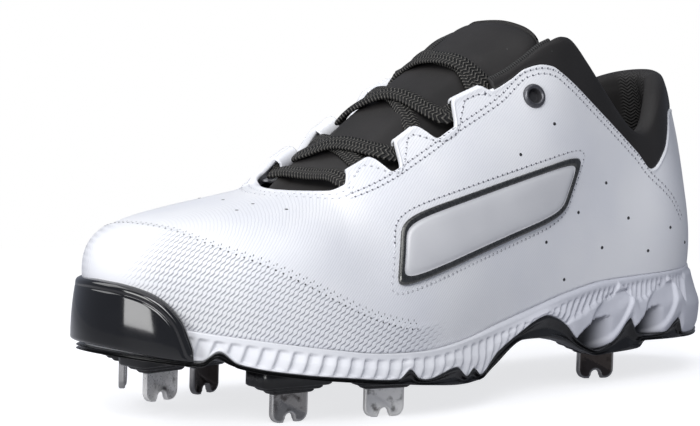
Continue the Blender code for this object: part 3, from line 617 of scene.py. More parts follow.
upper = build("upper_shell", loop.reshape(-1, 3), faces, [white_leather, grey_lining],
              {"toe_cap": np.concatenate([ribbed, spare], axis=1).ravel(),
               "vamp": np.concatenate([on_vamp, spare], axis=1).ravel()},
              (row_of_face >= UPPER_ROWS + RIM_TURNS + 2).astype(int))
settle(upper, "upper", "upper")

# Lace tunnels: the top of each lacing tab is folded inwards and sewn down, so that a white
# sleeve of the upper's own leather lies along the rim for the lace to run through.
# Section of the fold: drop under the rim and depth under the face.
FOLD_SECTION = ((1.2, 1.6), (0.35, 1.9), (0.1, 2.7), (0.4, 3.9), (1.7, 5.1), (4.2, 5.5), (7.0, 4.8),
                (8.8, 2.4))
FOLD_ENDS = (0.4, -0.7)
FOLD_THICK = 0.8
FOLD_CUTS = 28


def by_rim(along, side, drop, depth):
    """Places below the rim and inwards from the face, and the outward directions there."""
    station = rim_station(along, side)
    share = 1 - drop / chord(station)
    return inside(station, share, depth), shell_out(station, share)


def curve_through(points, count):
    """Smooth open curve through points, evenly cut."""
    points = np.asarray(points, float)
    legs = np.linalg.norm(np.diff(points, axis=0), axis=1)
    knots = np.concatenate([[0.0], np.cumsum(np.sqrt(legs))])
    extended = np.vstack([2 * points[0] - points[1], points, 2 * points[-1] - points[-2]])
    wide = np.concatenate([[knots[0] - (knots[1] - knots[0])], knots, [2 * knots[-1] - knots[-2]]])
    at = np.linspace(knots[0], knots[-1], count * 4)
    k = np.clip(np.searchsorted(knots, at, side="right") - 1, 0, len(points) - 2)
    p = [extended[k + i] for i in range(4)]
    w = [wide[k + i] for i in range(4)]
    u = ((at - w[1]) / (w[2] - w[1]))[:, None]
    gap = (w[2] - w[1])[:, None]
    leave = (p[2] - p[0]) / (w[2] - w[0])[:, None] * gap
    arrive = (p[3] - p[1]) / (w[3] - w[1])[:, None] * gap
    fine = hermite(u, p[1], p[2], leave, arrive)
    run = run_length(fine)
    even = np.linspace(0, run[-1], count)
    return np.stack([np.interp(even, run, fine[:, axis]) for axis in range(fine.shape[1])], axis=1)


section = curve_through(FOLD_SECTION, 22)
leaf_in = np.gradient(section, axis=0)
leaf_in = unit(np.stack([leaf_in[:, 1], -leaf_in[:, 0]], axis=1))
ring = np.concatenate([section, (section - leaf_in * FOLD_THICK)[::-1]])
sleeves = []
sleeve_faces = []
for side in ("outer", "inner"):
    for tab_back, tab_front, _, _ in TABS:
        run = np.linspace(tab_back + FOLD_ENDS[0], tab_front + FOLD_ENDS[1], FOLD_CUTS)
        rows = [by_rim(x, side, ring[:, 0], ring[:, 1])[0] for x in run]
        base = sum(len(part) for part in sleeves)
        sleeves.append(np.concatenate(rows))
        sleeve_faces += [[base + k for k in f] for f in loops_to_faces(FOLD_CUTS, len(ring))]
sleeve_points = np.concatenate(sleeves)
blank = np.zeros(len(sleeve_points))
tunnels = build("lace_tunnels", sleeve_points, sleeve_faces, [white_leather],
                {"toe_cap": blank, "vamp": blank})
settle(tunnels, "upper")

# Seams: rows of fine white thread sewn through the upper along its tabs, throat, quarter and
# heel, each stitch sunk between two dark needle holes; their darkness is painted shade on small beads.
STITCH_PITCH = 2.3
ROW_GAP = 1.9
THREAD = (1.5, 0.55, 0.32)
NEEDLE_HOLE = (0.85, 0.8, 0.17)
# Middle of the double row on the outer side, as station and share of the rib: below the lacing tabs,
# then at a drop under the collar's line, then down the heel.
TAB_SEAM = ((0.3604, 0.858), (0.3363, 0.852), (0.32, 0.856), (0.3038, 0.866), (0.2812, 0.867),
            (0.2558, 0.879), (0.2425, 0.895), (0.2333, 0.908))
HEEL_SEAM = ((0.0838, 0.487), (0.0679, 0.292))
COLLAR_SEAM = (0.2163, 0.108)
COLLAR_SEAM_DROP = 2.85
HEM_RUN = (0.236, 0.349)
HEM_GAP = 2.8
HEM_ROUND = 3.4
THROAT_RUN = (0.352, 0.636)
THROAT_DROPS = (2.6, 4.6)
CHART_HEIGHT = 80.0
SEAM_CUTS = 160
HEM_CUTS = 260


def other_side(s):
    """Station on the inner side that matches one on the outer side."""
    names = list(SECTIONS)
    outer = [STATION[n] for n in names[:11]]
    inner = [1.0] + [STATION[n.replace("_outer", "_inner")] for n in names[1:11]]
    return np.interp(s, outer, inner)


upper_tree = BVHTree.FromObject(upper, bpy.context.evaluated_depsgraph_get())


def laid_on_upper(points):
    """Nearest places on the upper's face and the directions away from it."""
    hits = [upper_tree.find_nearest(Vector((point - CENTRE) * MM)) for point in np.asarray(points)]
    return np.array([hit[0] for hit in hits]) / MM + CENTRE, np.array([hit[1] for hit in hits])


def hem_line(stations, gap):
    """Line over the upper's face that keeps a gap to its edge."""
    share = rim_share(stations, HEM_ROUND)
    edge = shell(stations, share)
    down = unit(np.cross(shell_out(stations, share), np.gradient(edge, axis=0)))
    return laid_on_upper(edge + gap * down)


def on_face(s, t):
    """Places on the upper's pressed face and the directions away from it."""
    return inside(s, t, -pressed(s, t)), shell_out(s, t)


def past_half_pitch(place, out):
    """A seam's line, begun half a stitch later."""
    keep = run_length(place) >= STITCH_PITCH / 2
    return place[keep], out[keep]


def seam_points(route, sideways):
    """Places and outward directions along a route on the upper, moved sideways over its face."""
    route = np.asarray(route, float)
    chart = np.array([GIRTH, CHART_HEIGHT])
    place, out = on_face(*(curve_through(route * chart, SEAM_CUTS) / chart).T)
    side = unit(np.cross(out, np.gradient(place, axis=0)))
    return laid_on_upper(place + side * sideways)


def repeat_tree(name, follow):
    """Node tree that sets one small rounded shape on every point, or every pitch along a line."""
    tree = bpy.data.node_groups.new(name, "GeometryNodeTree")
    sockets = {"Geometry": "Geometry", **dict.fromkeys(("Pitch", "Length", "Width", "Height"), "Float"),
               "Finish": "Material"}
    for label, kind in sockets.items():
        tree.interface.new_socket(label, in_out="INPUT", socket_type="NodeSocket" + kind)
    tree.interface.new_socket("Geometry", in_out="OUTPUT", socket_type="NodeSocketGeometry")
    add = Nodes(tree).node
    given = {label: add("NodeGroupInput", {}, output=label) for label in sockets}
    points = given["Geometry"]
    vector = {"data_type": "FLOAT_VECTOR"}
    out = add("GeometryNodeInputNamedAttribute", vector, Name="out")
    along = add("GeometryNodeInputNamedAttribute", vector, Name="along")
    if follow:
        line = add("GeometryNodeMeshToCurve", {}, Mesh=points)
        points = add("GeometryNodeResampleCurve", {"mode": "LENGTH"}, Curve=line, Length=given["Pitch"])
        along = add("GeometryNodeInputTangent", {})
    turn = add("FunctionNodeAlignRotationToVector", {"axis": "X"}, Vector=along)
    upright = {"axis": "Z", "pivot_axis": "X"}
    turn = add("FunctionNodeAlignRotationToVector", upright, Rotation=turn, Vector=out)
    bead = add("GeometryNodeMeshUVSphere", {}, Segments=8, Rings=4, Radius=0.5)
    size = add("ShaderNodeCombineXYZ", {}, X=given["Length"], Y=given["Width"], Z=given["Height"])
    placed = add("GeometryNodeInstanceOnPoints", {}, Points=points, Instance=bead, Rotation=turn, Scale=size)
    real = add("GeometryNodeRealizeInstances", {}, Geometry=placed)
    smooth = add("GeometryNodeSetShadeSmooth", {}, Geometry=real)
    painted = add("GeometryNodeSetMaterial", {}, Geometry=smooth, Material=given["Finish"])
    tree.links.new(painted.socket, tree.nodes.new("NodeGroupOutput").inputs["Geometry"])
    return tree


STITCH_TREE = repeat_tree("stitches_along_seam", True)
DOT_TREE = repeat_tree("dots_on_points", False)


def repeat(name, tree, lines, sizes, finish, pitch=STITCH_PITCH):
    """Runs the tree on lines of places with outward and forward directions; gives a plain mesh."""
    points, outs, alongs, edges = [], [], [], []
    for place, out in lines:
        base = len(points)
        points += list(place)
        outs += list(out)
        alongs += list(np.gradient(np.asarray(place), axis=0)) if len(place) > 1 else [(1.0, 0.0, 0.0)]
        edges += [(base + k, base + k + 1) for k in range(len(place) - 1)]
    mesh = bpy.data.meshes.new(name)
    mesh.from_pydata(((np.array(points) - CENTRE) * MM).tolist(), edges if tree is STITCH_TREE else [], [])
    for key, values in (("out", outs), ("along", alongs)):
        field = mesh.attributes.new(key, "FLOAT_VECTOR", "POINT")
        field.data.foreach_set("vector", np.asarray(values, np.float32).ravel())
    guide = shown(name + "_guide", mesh)
    step = guide.modifiers.new("repeat", "NODES")
    step.node_group = tree
    given = {item.name: item.identifier for item in tree.interface.items_tree if item.in_out == "INPUT"}
    for key, value in (("Pitch", pitch), ("Length", sizes[0]), ("Width", sizes[1]), ("Height", sizes[2])):
        step[given[key]] = value * MM
    step[given["Finish"]] = finish.material
    graph = bpy.context.evaluated_depsgraph_get()
    made = bpy.data.meshes.new_from_object(guide.evaluated_get(graph))
    guide.modifiers.remove(step)
    bpy.data.objects.remove(guide)
    for key in ("out", "along"):
        if key in made.attributes:
            made.attributes.remove(made.attributes[key])
    return shown(name, made)


white_thread = Finish("white_thread", Base_Color=(0.72, 0.73, 0.77), Roughness=0.6)
twist = white_thread.along((3.0, 2.0, 2.4)).wave()
white_thread.shade(twist * 0.5 + 0.5, (0.62, 0.63, 0.68), (0.8, 0.81, 0.84))
white_thread.relief(twist * 0.06)
# Needle holes: small beads painted dark as the shade inside each hole.
needle_dark = Finish("needle_dark", Base_Color=(0.10, 0.10, 0.12), Roughness=0.8)
speck = needle_dark.noise(0.6)
needle_dark.shade(speck, (0.07, 0.07, 0.09), (0.16, 0.16, 0.19))

collar_run = np.linspace(*COLLAR_SEAM, 12)
collar_share = rim_share(collar_run) - COLLAR_SEAM_DROP / chord(collar_run)
quarter_seam = [*TAB_SEAM, *zip(collar_run, collar_share), *HEEL_SEAM]
seam_lines = []
for side in ("outer", "inner"):
    to_side = (lambda v: v) if side == "outer" else other_side
    for sideways in (-ROW_GAP / 2, ROW_GAP / 2):
        seam_lines.append(seam_points([(float(to_side(a)), b) for a, b in quarter_seam], sideways))
    seam_lines.append(hem_line(np.sort(to_side(np.linspace(*HEM_RUN, HEM_CUTS))), HEM_GAP))
throat = np.linspace(*THROAT_RUN, SEAM_CUTS)
for drop in THROAT_DROPS:
    seam_lines.append(on_face(throat, rim_share(throat) - drop / chord(throat)))
settle(repeat("seam_stitches", STITCH_TREE, seam_lines, THREAD, white_thread), "upper")
half = [past_half_pitch((a[:-1] + a[1:]) / 2, (b[:-1] + b[1:]) / 2) for a, b in seam_lines]
settle(repeat("needle_holes", STITCH_TREE, half, NEEDLE_HOLE, needle_dark), "upper")

# Perforations: breathing holes punched through the quarters and the vamp, and rows of dots along
# the toe cap's edge; each is a small dark bead sunk into the leather, its black painted as the shade inside
# the hole.
PERFORATION = (1.6, 1.25, 0.2)
QUARTER_HOLES = ((0.1942, 0.679), (0.2263, 0.654), (0.1471, 0.496), (0.1729, 0.304), (0.1267, 0.379),
                 (0.2033, 0.237), (0.1496, 0.163), (0.1071, 0.158), (0.1833, 0.054), (0.085, 0.27),
                 (0.062, 0.14))
VAMP_HOLES = ((0.5125, 0.838), (0.4917, 0.767), (0.4925, 0.833), (0.545, 0.8), (0.46, 0.80))
# Rows of the cap's edge: offset over its line, size of the dots, and start along the row.
CAP_ROWS = ((-1.1, (0.62, 0.62, 0.16), 0.0), (0.8, (0.5, 0.5, 0.14), 0.5), (1.9, (0.26, 0.9, 0.1), 1.6))
CAP_DOT_PITCH = 2.6
CAP_CUTS = 260
# Painted shade: this near-black stands in for the shade inside holes and eyelet bores; its tone varies at
# random.
hole_black = Finish("hole_black", Base_Color=(0.02, 0.02, 0.024), Roughness=0.9)
hollow_shade = hole_black.noise(0.8)
hole_black.shade(hollow_shade, (0.012, 0.012, 0.015), (0.05, 0.05, 0.055))
holes = []
for a, b in QUARTER_HOLES:
    holes += [(a, b), (float(other_side(a)), b)]
punched = [on_face(np.array([a]), np.array([b])) for a, b in (*holes, *VAMP_HOLES)]
settle(repeat("quarter_perforations", DOT_TREE, punched, PERFORATION, hole_black), "upper")
cap_run = np.linspace(STATION["eyestay_front_outer"] + 0.02, STATION["eyestay_front_inner"] - 0.02, CAP_CUTS)
for number, (offset, dot, start) in enumerate(CAP_ROWS):
    s = cap_run + start / GIRTH
    row = [on_face(s, profile(CAP_LINE, outline(s)[0][:, 0]) + offset / chord(s))]
    settle(repeat("cap_perforations_%d" % number, STITCH_TREE, row, dot, hole_black, CAP_DOT_PITCH), "upper")

# Badge: a plain pressed plate on the outer quarter, a dark bright rim round a pearl face,
# let into the leather and sewn round.
BADGE_MIDDLE = (4.0, 62.0)
BADGE_HALF = (44.0, 11.0)
BADGE_SLANT = -0.55
BADGE_RISE = 0.22
BADGE_SQUARENESS = 7.0
BADGE_SOFTENING = 0.07
BADGE_SEAM = (-2.4, 0.02)
BADGE_CUTS = 240
# Section of the plate: distance in from the rim, height over the upper, finish of the strip after it.
BADGE_SECTION = ((0.0, 0.3, 0), (0.0, 0.9, 0), (0.35, 1.35, 0), (1.2, 1.5, 0), (1.9, 1.3, 0),
                 (2.2, 0.95, 1), (2.7, 0.9, 1), (3.2, 1.2, 1), (4.2, 1.38, 1), (6.0, 1.48, 1), (8.5, 1.5, 1))


def on_outer_side(x, z):
    """Station and share of the upper's outer side at a place along and a height."""
    s = np.interp(x, TABLE[3:9, 0], KNOTS[3:9])
    t = np.full(len(x), 0.5)
    for _ in range(12):
        here = shell(s, t)
        by_s = (shell(s + NUDGE, t) - here) / NUDGE
        by_t = (shell(s, t + NUDGE) - here) / NUDGE
        dx = x - here[:, 0]
        dz = z - here[:, 2]
        scale = by_s[:, 0] * by_t[:, 2] - by_t[:, 0] * by_s[:, 2]
        s = s + (dx * by_t[:, 2] - dz * by_t[:, 0]) / scale
        t = t + (dz * by_s[:, 0] - dx * by_s[:, 2]) / scale
    return s, t


def bent(wave, power):
    """A wave raised to a power with its sign kept."""
    return np.sign(wave) * abs(wave) ** power


def badge_ring(shrink, height):
    """Ring of the badge, drawn in from its rim, over the upper's face."""
    turns = np.linspace(0, 2 * math.pi, BADGE_CUTS, endpoint=False)
    power = 2 / (BADGE_SQUARENESS - BADGE_SOFTENING * shrink ** 2)
    u = bent(np.cos(turns), power) * (BADGE_HALF[0] - shrink)
    v = bent(np.sin(turns), power) * (BADGE_HALF[1] - shrink)
    s, t = on_outer_side(BADGE_MIDDLE[0] + u + v * BADGE_SLANT, BADGE_MIDDLE[1] + v - u * BADGE_RISE)
    return inside(s, t, -height), shell_out(s, t)


def rungs(base, around):
    """Faces that close a ring of points with straight rungs across."""
    faces = []
    for k in range(around // 2):
        rung = [k, k + 1, (around - k - 1) % around, (around - k) % around]
        faces.append([base + p for p in dict.fromkeys(rung)])
    return faces


def stacked(rings):
    """Points and faces of closed rings one over the other, closed at both ends."""
    rings = np.asarray(rings)
    levels, around = rings.shape[:2]
    quads = loops_to_faces(levels, around)[:-2]
    return rings.reshape(-1, 3), quads + rungs(0, around) + rungs((levels - 1) * around, around)


gunmetal = Finish("gunmetal", Base_Color=(0.10, 0.10, 0.10), Roughness=0.25, Metallic=1.0)
brushed = gunmetal.noise(0.8)
gunmetal.shade(brushed, (0.07, 0.07, 0.068), (0.22, 0.22, 0.21), Roughness=0.18 + brushed * 0.2)
pearl = Finish("pearl_grey", Base_Color=(0.75, 0.75, 0.76), Roughness=0.3, Metallic=0.25, Coat_Weight=0.3)
drift = pearl.noise(0.045, 2.0)
pearl.shade(drift, (0.68, 0.68, 0.70), (0.86, 0.86, 0.87))
pearl.relief(pearl.noise(3.0) * 0.02)
rings = [badge_ring(shrink, height)[0] for shrink, height, _ in BADGE_SECTION]
kinds = np.repeat([kind for _, _, kind in BADGE_SECTION[:-1]], BADGE_CUTS)
kinds = np.append(kinds, np.repeat([0, 1], BADGE_CUTS // 2))
badge = build("side_badge_plate", *stacked(rings), [gunmetal, pearl], face_finish=kinds)
settle(badge, "badge", "side_badge")
sewn = [np.vstack([part, part[:1]]) for part in badge_ring(*BADGE_SEAM)]
settle(repeat("badge_stitches", STITCH_TREE, [sewn], THREAD, white_thread), "upper")
pricked = [past_half_pitch(*sewn)]
settle(repeat("badge_needle_holes", STITCH_TREE, pricked, NEEDLE_HOLE, needle_dark), "upper")

# Collar: a foam cuff in smooth black synthetic that stands on the white quarter; its inner face
# is lined with a herringbone knit, and its front edges down to the lacing are bound with ribbed tape.
COLLAR_FRONT = -11.0
PAD_ALONG = ((-125, 7.0), (-70, 7.0), (-45, 5.0), (-28, 3.4), (COLLAR_FRONT, 1.7))
COLLAR_DROP = 16.0
LINING_GAP = 0.9
COLLAR_CUTS = 360
COLLAR_ROUND = 56
# Lift of the cuff's top by place along: a flat peak in front of the ankle.
PEAK_TRIM = ((-60, 0.0), (-53, 0.5), (-47, 1.3), (-42, 0.0), (-36, -1.6), (-30, -0.9), (-22, 0.0))
# Section of the cuff: share of the way from the white panel to its top, depth in pads, lining or not.
CUFF = ((0.0, 0.12, 0.0), (0.2, -0.02, 0.0), (0.5, -0.06, 0.0), (0.8, -0.03, 0.0), (0.92, 0.06, 0.0),
        (1.0, 0.25, 0.0), (1.012, 0.48, 0.3), (1.0, 0.75, 1.0), (0.9, 0.98, 1.0), (0.7, 1.08, 1.0),
        (0.5, 1.12, 1.0), (0.0, 1.06, 1.0))
KNIT_COLUMN = 2.4
KNIT_STROKE = 1.2
KNIT_PANEL = 13.0
BINDING_BACK = -37.0
BINDING_DEPTH = ((BINDING_BACK, 3.36), (-28, 2.72), (COLLAR_FRONT, 1.36))
BINDING_SIZE = (2.5, 2.0)
BINDING_RIB = 0.95
BINDING_CUTS = 90
BINDING_SIDES = 10


def tube(name, loops, finishes, traits=(), face_finish=None):
    """A piece skinned over neighbouring closed loops and capped at both ends."""
    loops = np.asarray(loops)
    faces = loops_to_faces(*loops.shape[:2])
    return build(name, loops.reshape(-1, 3), faces, finishes, traits, face_finish)


black_synthetic = Finish("black_synthetic", Base_Color=(0.014, 0.013, 0.013), Roughness=0.55,
                         Specular_IOR_Level=0.28)
lined = black_synthetic.trait("lining")
panel = black_synthetic.trait("knit_panel")
around_knit = black_synthetic.trait("lengthways")
fine = black_synthetic.noise(3.0, 3.0)
slow = black_synthetic.noise(0.05, 2.0)
dust = black_synthetic.noise(0.9, 2.0).between(0.74, 0.8)
lean = (around_knit / KNIT_COLUMN).fold(1.0) * 1.1
knit = (black_synthetic.along((0.0, 0.0, 1.0 / KNIT_STROKE)) + lean).wave() * 0.5 + 0.5
shade = black_synthetic.blend(slow, (0.012, 0.0112, 0.0112), (0.03, 0.028, 0.0275))
shade = black_synthetic.blend(panel * knit + lined * 0.12, shade, (0.05, 0.048, 0.047))
shade = black_synthetic.blend(dust * 0.5, shade, (0.2, 0.2, 0.2))
black_synthetic.cover(Base_Color=shade, Roughness=0.5 + fine * 0.12 + lined * 0.25)
black_synthetic.relief(fine * 0.04 + panel * knit * 0.35)
begin = float(rim_station(COLLAR_FRONT, "inner"))
end = float(rim_station(COLLAR_FRONT, "outer")) + 1.0
run = np.linspace(begin, end, COLLAR_CUTS)
rim = rim_share(run)
reach = chord(run)
edge = shell(run, 1.0)
pad = profile(PAD_ALONG, edge[:, 0])
start = rim - 1.0 / reach
drop = np.maximum(rim - COLLAR_DROP / reach, 0.3)
edge_run = run_length(edge)
from_heel = np.abs(edge_run - edge_run[np.argmin(edge[:, 0])])
at_heel = np.clip((KNIT_PANEL - from_heel) / 2.0, 0, 1)


def collar_top(stations):
    """Share of the rib where the cuff ends."""
    return 1 + profile(PEAK_TRIM, shell(stations, 1.0)[:, 0]) / chord(stations)


top = collar_top(run)
loop = []
for share, depth, kind in CUFF:
    loop.append(inside(run, start + (top - start) * share, depth * pad + (kind == 1.0) * at_heel))
deep = WALL + LINING_GAP
half_way = (start + drop) / 2
loop += [inside(run, half_way, np.maximum(0.95 * pad, deep + 0.8)), inside(run, drop, deep + 0.8),
         inside(run, drop, deep), inside(run, half_way, deep), inside(run, start, deep)]
loop = np.stack(loop, axis=1)
knots = np.arange(loop.shape[1]) / loop.shape[1]
around = np.linspace(0, 1, COLLAR_ROUND, endpoint=False)
collar_loops = np.stack([closed_spline(knots, ring, around) for ring in loop])
mark = np.array([kind for _, _, kind in CUFF] + [1, 1, 1, 1, 0.5])
lining_mark = np.tile(np.interp(around, np.append(knots, 1.0), np.append(mark, mark[0])), COLLAR_CUTS)
collar = tube("collar_cuff", collar_loops, [black_synthetic],
              {"lining": lining_mark, "lengthways": np.repeat(edge_run, COLLAR_ROUND),
               "knit_panel": lining_mark * np.repeat(at_heel, COLLAR_ROUND)})
settle(collar, "collar", "collar")


def round_cord(line, out, width, thick, sides):
    """Closed loops of an oval cord along a line, its flat side facing out."""
    run = unit(np.gradient(line, axis=0))
    out = unit(out - (out * run).sum(axis=1)[:, None] * run)
    cross = np.cross(run, out)
    turn = np.linspace(0, 2 * math.pi, sides, endpoint=False)
    flat = bent(np.cos(turn), 0.75) * width / 2
    high = bent(np.sin(turn), 0.8) * thick / 2
    return line[:, None] + cross[:, None] * flat[None, :, None] + out[:, None] * high[None, :, None], flat


binding_tape = Finish("binding_tape", Base_Color=(0.016, 0.015, 0.015), Roughness=0.7)
rib = (binding_tape.trait("lengthways") / BINDING_RIB).wave() * 0.5 + 0.5
binding_tape.shade(rib, (0.007, 0.007, 0.007), (0.04, 0.039, 0.038))
binding_tape.relief(rib * 0.3)
along = np.linspace(COLLAR_FRONT, BINDING_BACK, BINDING_CUTS)
for side in ("outer", "inner"):
    station = rim_station(along, side)
    line = inside(station, collar_top(station), profile(BINDING_DEPTH, along))
    loops, _ = round_cord(line, shell_out(station, 1.0), *BINDING_SIZE, BINDING_SIDES)
    length = np.repeat(run_length(line), BINDING_SIDES)
    settle(tube("collar_binding_" + side, loops, [binding_tape], {"lengthways": length}), "collar")

# Tongue: a foam strip in smooth black synthetic, sewn in at the throat; it arches under the
# lacing tabs and stands above them at the ankle.
TONGUE_THICK = 5.0
TONGUE_FRONT_GAP = 4.2
TONGUE_ACROSS = 60
TONGUE_LENGTH = 120
# Place along the rim, height of the crown, depth under the rim, and reach of its edge below the rim.
TONGUE_ROWS = ((50.0, 72.6, 6.6, 3.0), (45.0, 77.4, 6.4, 6.0), (36.0, 84.2, 6.4, 10.0),
               (24.0, 93.2, 6.4, 11.0), (10.0, 102.0, 6.4, 11.0), (-4.0, 110.0, 6.2, 11.0),
               (-14.0, 115.8, 5.6, 11.0), (-22.0, 120.6, 5.4, 11.0), (-29.0, 124.8, 6.2, 10.0),
               (-36.0, 127.6, 7.2, 9.0))
TONGUE_SHOULDER = (0.6, 0.88)
TONGUE_SLOPE = 0.14
TONGUE_TIP = 0.07
TONGUE_EDGE = 0.12


def rounded(gap, radius):
    """Share of the full height at a gap from a round edge."""
    return np.sqrt(np.clip(1 - np.clip(1 - gap / radius, 0, 1) ** 2, 0, 1))


rows = []
fan = np.linspace(STATION["toe_side_outer"], STATION["toe_side_inner"], 11)[2:-2]
for share in (0.8, 0.9):
    rows.append(inside(fan, share, WALL + TONGUE_FRONT_GAP))
for along, crown, tuck, under in TONGUE_ROWS:
    drops = (("outer", under), ("outer", 0.0), ("inner", 0.0), ("inner", under))
    corners = [by_rim(along, side, drop, tuck)[0] for side, drop in drops]
    middle = (corners[1] + corners[2]) / 2
    middle[2] = crown
    shoulders = []
    for corner, slope in zip(corners[1:3], (TONGUE_SLOPE, 0.0)):
        shoulder = middle + (corner - middle) * TONGUE_SHOULDER[0]
        fall = slope * float(np.clip((-16.0 - along) / 12.0, 0, 1))
        shoulder[2] = corner[2] + (crown - corner[2]) * (TONGUE_SHOULDER[1] - fall)
        shoulders.append(shoulder)
    rows.append(np.array([*corners[:2], shoulders[0], middle, shoulders[1], *corners[2:]]))
even = np.linspace(0, 6, TONGUE_ACROSS)
crosswise = np.zeros((len(rows), TONGUE_ACROSS, 3))
for row, across in zip(rows, crosswise):
    for axis in range(3):
        across[:, axis] = profile(np.column_stack([np.arange(7), row[:, axis]]), even)
skin = np.stack([curve_through(crosswise[:, k], TONGUE_LENGTH) for k in range(TONGUE_ACROSS)], axis=1)
normal = unit(np.cross(np.gradient(skin, axis=0), np.gradient(skin, axis=1)))
normal *= np.sign(normal[:, TONGUE_ACROSS // 2, 2])[:, None, None]
u = np.linspace(-1, 1, TONGUE_ACROSS)[None, :]
v = np.linspace(0, 1, TONGUE_LENGTH)[:, None]
body_share = np.sqrt(np.clip(1 - np.abs(u) ** 6, 0, 1)) * rounded(1 - v, TONGUE_TIP)
body_share = TONGUE_EDGE + (1 - TONGUE_EDGE) * body_share
thick = TONGUE_THICK * body_share * np.where(v < 0.1, 0.55, 1.0)
under_skin = skin - normal * thick[..., None]
skin = skin - normal * (0.5 * TONGUE_THICK * (1 - body_share))[..., None]
tongue_loops = np.concatenate([skin, under_skin[:, ::-1]], axis=1)
tongue = tube("tongue_pad", tongue_loops, [black_synthetic])
settle(tongue, "tongue", "tongue")

# Eyelets: rolled metal rings with a dark enamel, clenched through the top corner of each eyestay; the bore's
# walls and floor are painted black as shade. Section of a ring: distance from its middle and height over the
# leather.
EYELET_SECTION = ((0.3, -1.7), (1.9, -1.7), (2.2, -1.4), (2.3, -0.4), (2.45, 0.55), (2.9, 1.1), (3.4, 1.15),
                  (3.95, 0.8), (4.2, 0.35), (4.2, -0.3), (3.0, -0.6), (2.5, -2.1), (0.3, -2.1))
EYELET_CUTS = 40
EYELET_BORE = (2.42, 0.4)
dark_enamel = Finish("dark_enamel", Base_Color=(0.09, 0.09, 0.10), Roughness=0.35, Metallic=0.8,
                     Coat_Weight=0.3)
rub = dark_enamel.noise(1.5)
dark_enamel.shade(rub, (0.06, 0.06, 0.066), (0.17, 0.17, 0.185), Roughness=0.28 + rub * 0.2)
section = curve_through(EYELET_SECTION, EYELET_CUTS)
# Faces inside the bore, and the small caps at its floor, take the black that paints the hole's shade.
in_hole = (section[:-1] < EYELET_BORE).all(axis=1)
kinds = np.append(np.repeat(in_hole, EYELET_CUTS), [1, 1])
turn = np.linspace(0, 2 * math.pi, EYELET_CUTS, endpoint=False)[:, None]
for side in ("outer", "inner"):
    middle, out = eyelet_place(side)
    spoke_x = unit(np.cross(out, UP))
    spokes = np.cos(turn) * spoke_x + np.sin(turn) * np.cross(spoke_x, out)
    loops = [middle + radius * spokes + height * out for radius, height in section]
    ring = tube("eyelet_ring_" + side, loops, [dark_enamel, hole_black], face_finish=kinds)
    settle(ring, "eyelet", "eyelet_" + side)

# Lace: one flat black braid with pale flecks. It runs from eyelet to eyelet through the sleeves,
# barred at the front and crossed twice over the tongue, its ends hidden behind the eyestays.
LACE_WIDTH = 6.2
LACE_THICK = 2.1
LACE_STEP = 0.8
LACE_ROUND = 16
LACE_BEHIND = 4.2
LACE_FACING = 8.0
SLEEVE_DROP = 3.6
SLEEVE_DEPTH = 3.7
BRAID_COLUMN = 1.5
BRAID_STROKE = 1.35
tongue_tree = BVHTree.FromObject(tongue, bpy.context.evaluated_depsgraph_get())


def on_tongue(x, y, lift):
    """Place over the tongue and the direction away from it."""
    origin = Vector((np.array([x, y, 300.0]) - CENTRE) * MM)
    hit, direction, _, _ = tongue_tree.ray_cast(origin, Vector((0, 0, -1)))
    up = np.array(direction) * (1 if direction.z > 0 else -1)
    return np.array(hit) / MM + CENTRE + up * lift, up


# Route: a side and a place along for each end of a sleeve, and places over the tongue between them.
ROUTE = (
    ("eyelet", "outer"), ("sleeve", -13.0, "outer"),
    ("over", -9.0, 9.0, 2.4), ("over", -8.0, -6.0, 2.4), ("over", -7.5, -17.0, 1.2),
    ("sleeve", -5.0, "inner"), ("sleeve", 4.0, "inner"),
    ("over", 7.5, -15.0, 1.0), ("over", 12.0, 0.0, 1.0), ("over", 16.5, 13.0, 1.0),
    ("sleeve", 21.2, "outer"), ("sleeve", 28.8, "outer"),
    ("over", 31.6, 12.5, 3.8), ("over", 35.0, -2.0, 2.9), ("over", 38.5, -15.0, 1.4),
    ("sleeve", 40.6, "inner"), ("sleeve", 48.4, "inner"),
    ("over", 46.6, -15.0, 2.0), ("over", 45.6, -3.0, 3.0), ("over", 46.2, 9.0, 3.4),
    ("sleeve", 48.4, "outer"), ("sleeve", 40.6, "outer"),
    ("over", 38.5, 11.0, 1.0), ("over", 35.0, -2.0, 1.0), ("over", 31.5, -16.0, 1.0),
    ("sleeve", 28.8, "inner"), ("sleeve", 21.2, "inner"),
    ("over", 16.5, -15.0, 1.4), ("over", 12.0, 0.0, 2.9), ("over", 7.2, 14.5, 3.8),
    ("sleeve", 4.0, "outer"), ("sleeve", -5.0, "outer"),
    ("over", -9.0, 11.0, 1.0), ("over", -10.0, 0.0, 1.0), ("over", -13.0, -14.0, 1.0),
    ("sleeve", -16.0, "inner"), ("eyelet", "inner"),
)
route, faces_to = [], []
for stop in ROUTE:
    if stop[0] == "eyelet":
        place, out = eyelet_place(stop[1], LACE_BEHIND)
    elif stop[0] == "sleeve":
        place, out = by_rim(*stop[1:], SLEEVE_DROP, SLEEVE_DEPTH)
    else:
        place, out = on_tongue(*stop[1:])
    route.append(place)
    faces_to.append(out)
rough_length = np.linalg.norm(np.diff(route, axis=0), axis=1).sum()
count = int(rough_length / LACE_STEP)
both = curve_through(np.column_stack([route, np.array(faces_to) * LACE_FACING]), count)
line, out = both[:, :3], both[:, 3:]
lace_loops, flat = round_cord(line, out, LACE_WIDTH, LACE_THICK, LACE_ROUND)
length_mark = run_length(line)
braid = Finish("flecked_braid", Base_Color=(0.02, 0.02, 0.02), Roughness=0.7, Specular_IOR_Level=0.3)
lengthways = braid.trait("lengthways")
sideways = braid.trait("sideways")
column = (sideways / BRAID_COLUMN + 10.0).fold(1.0)
herring = (lengthways / BRAID_STROKE + column * 0.75).wave()
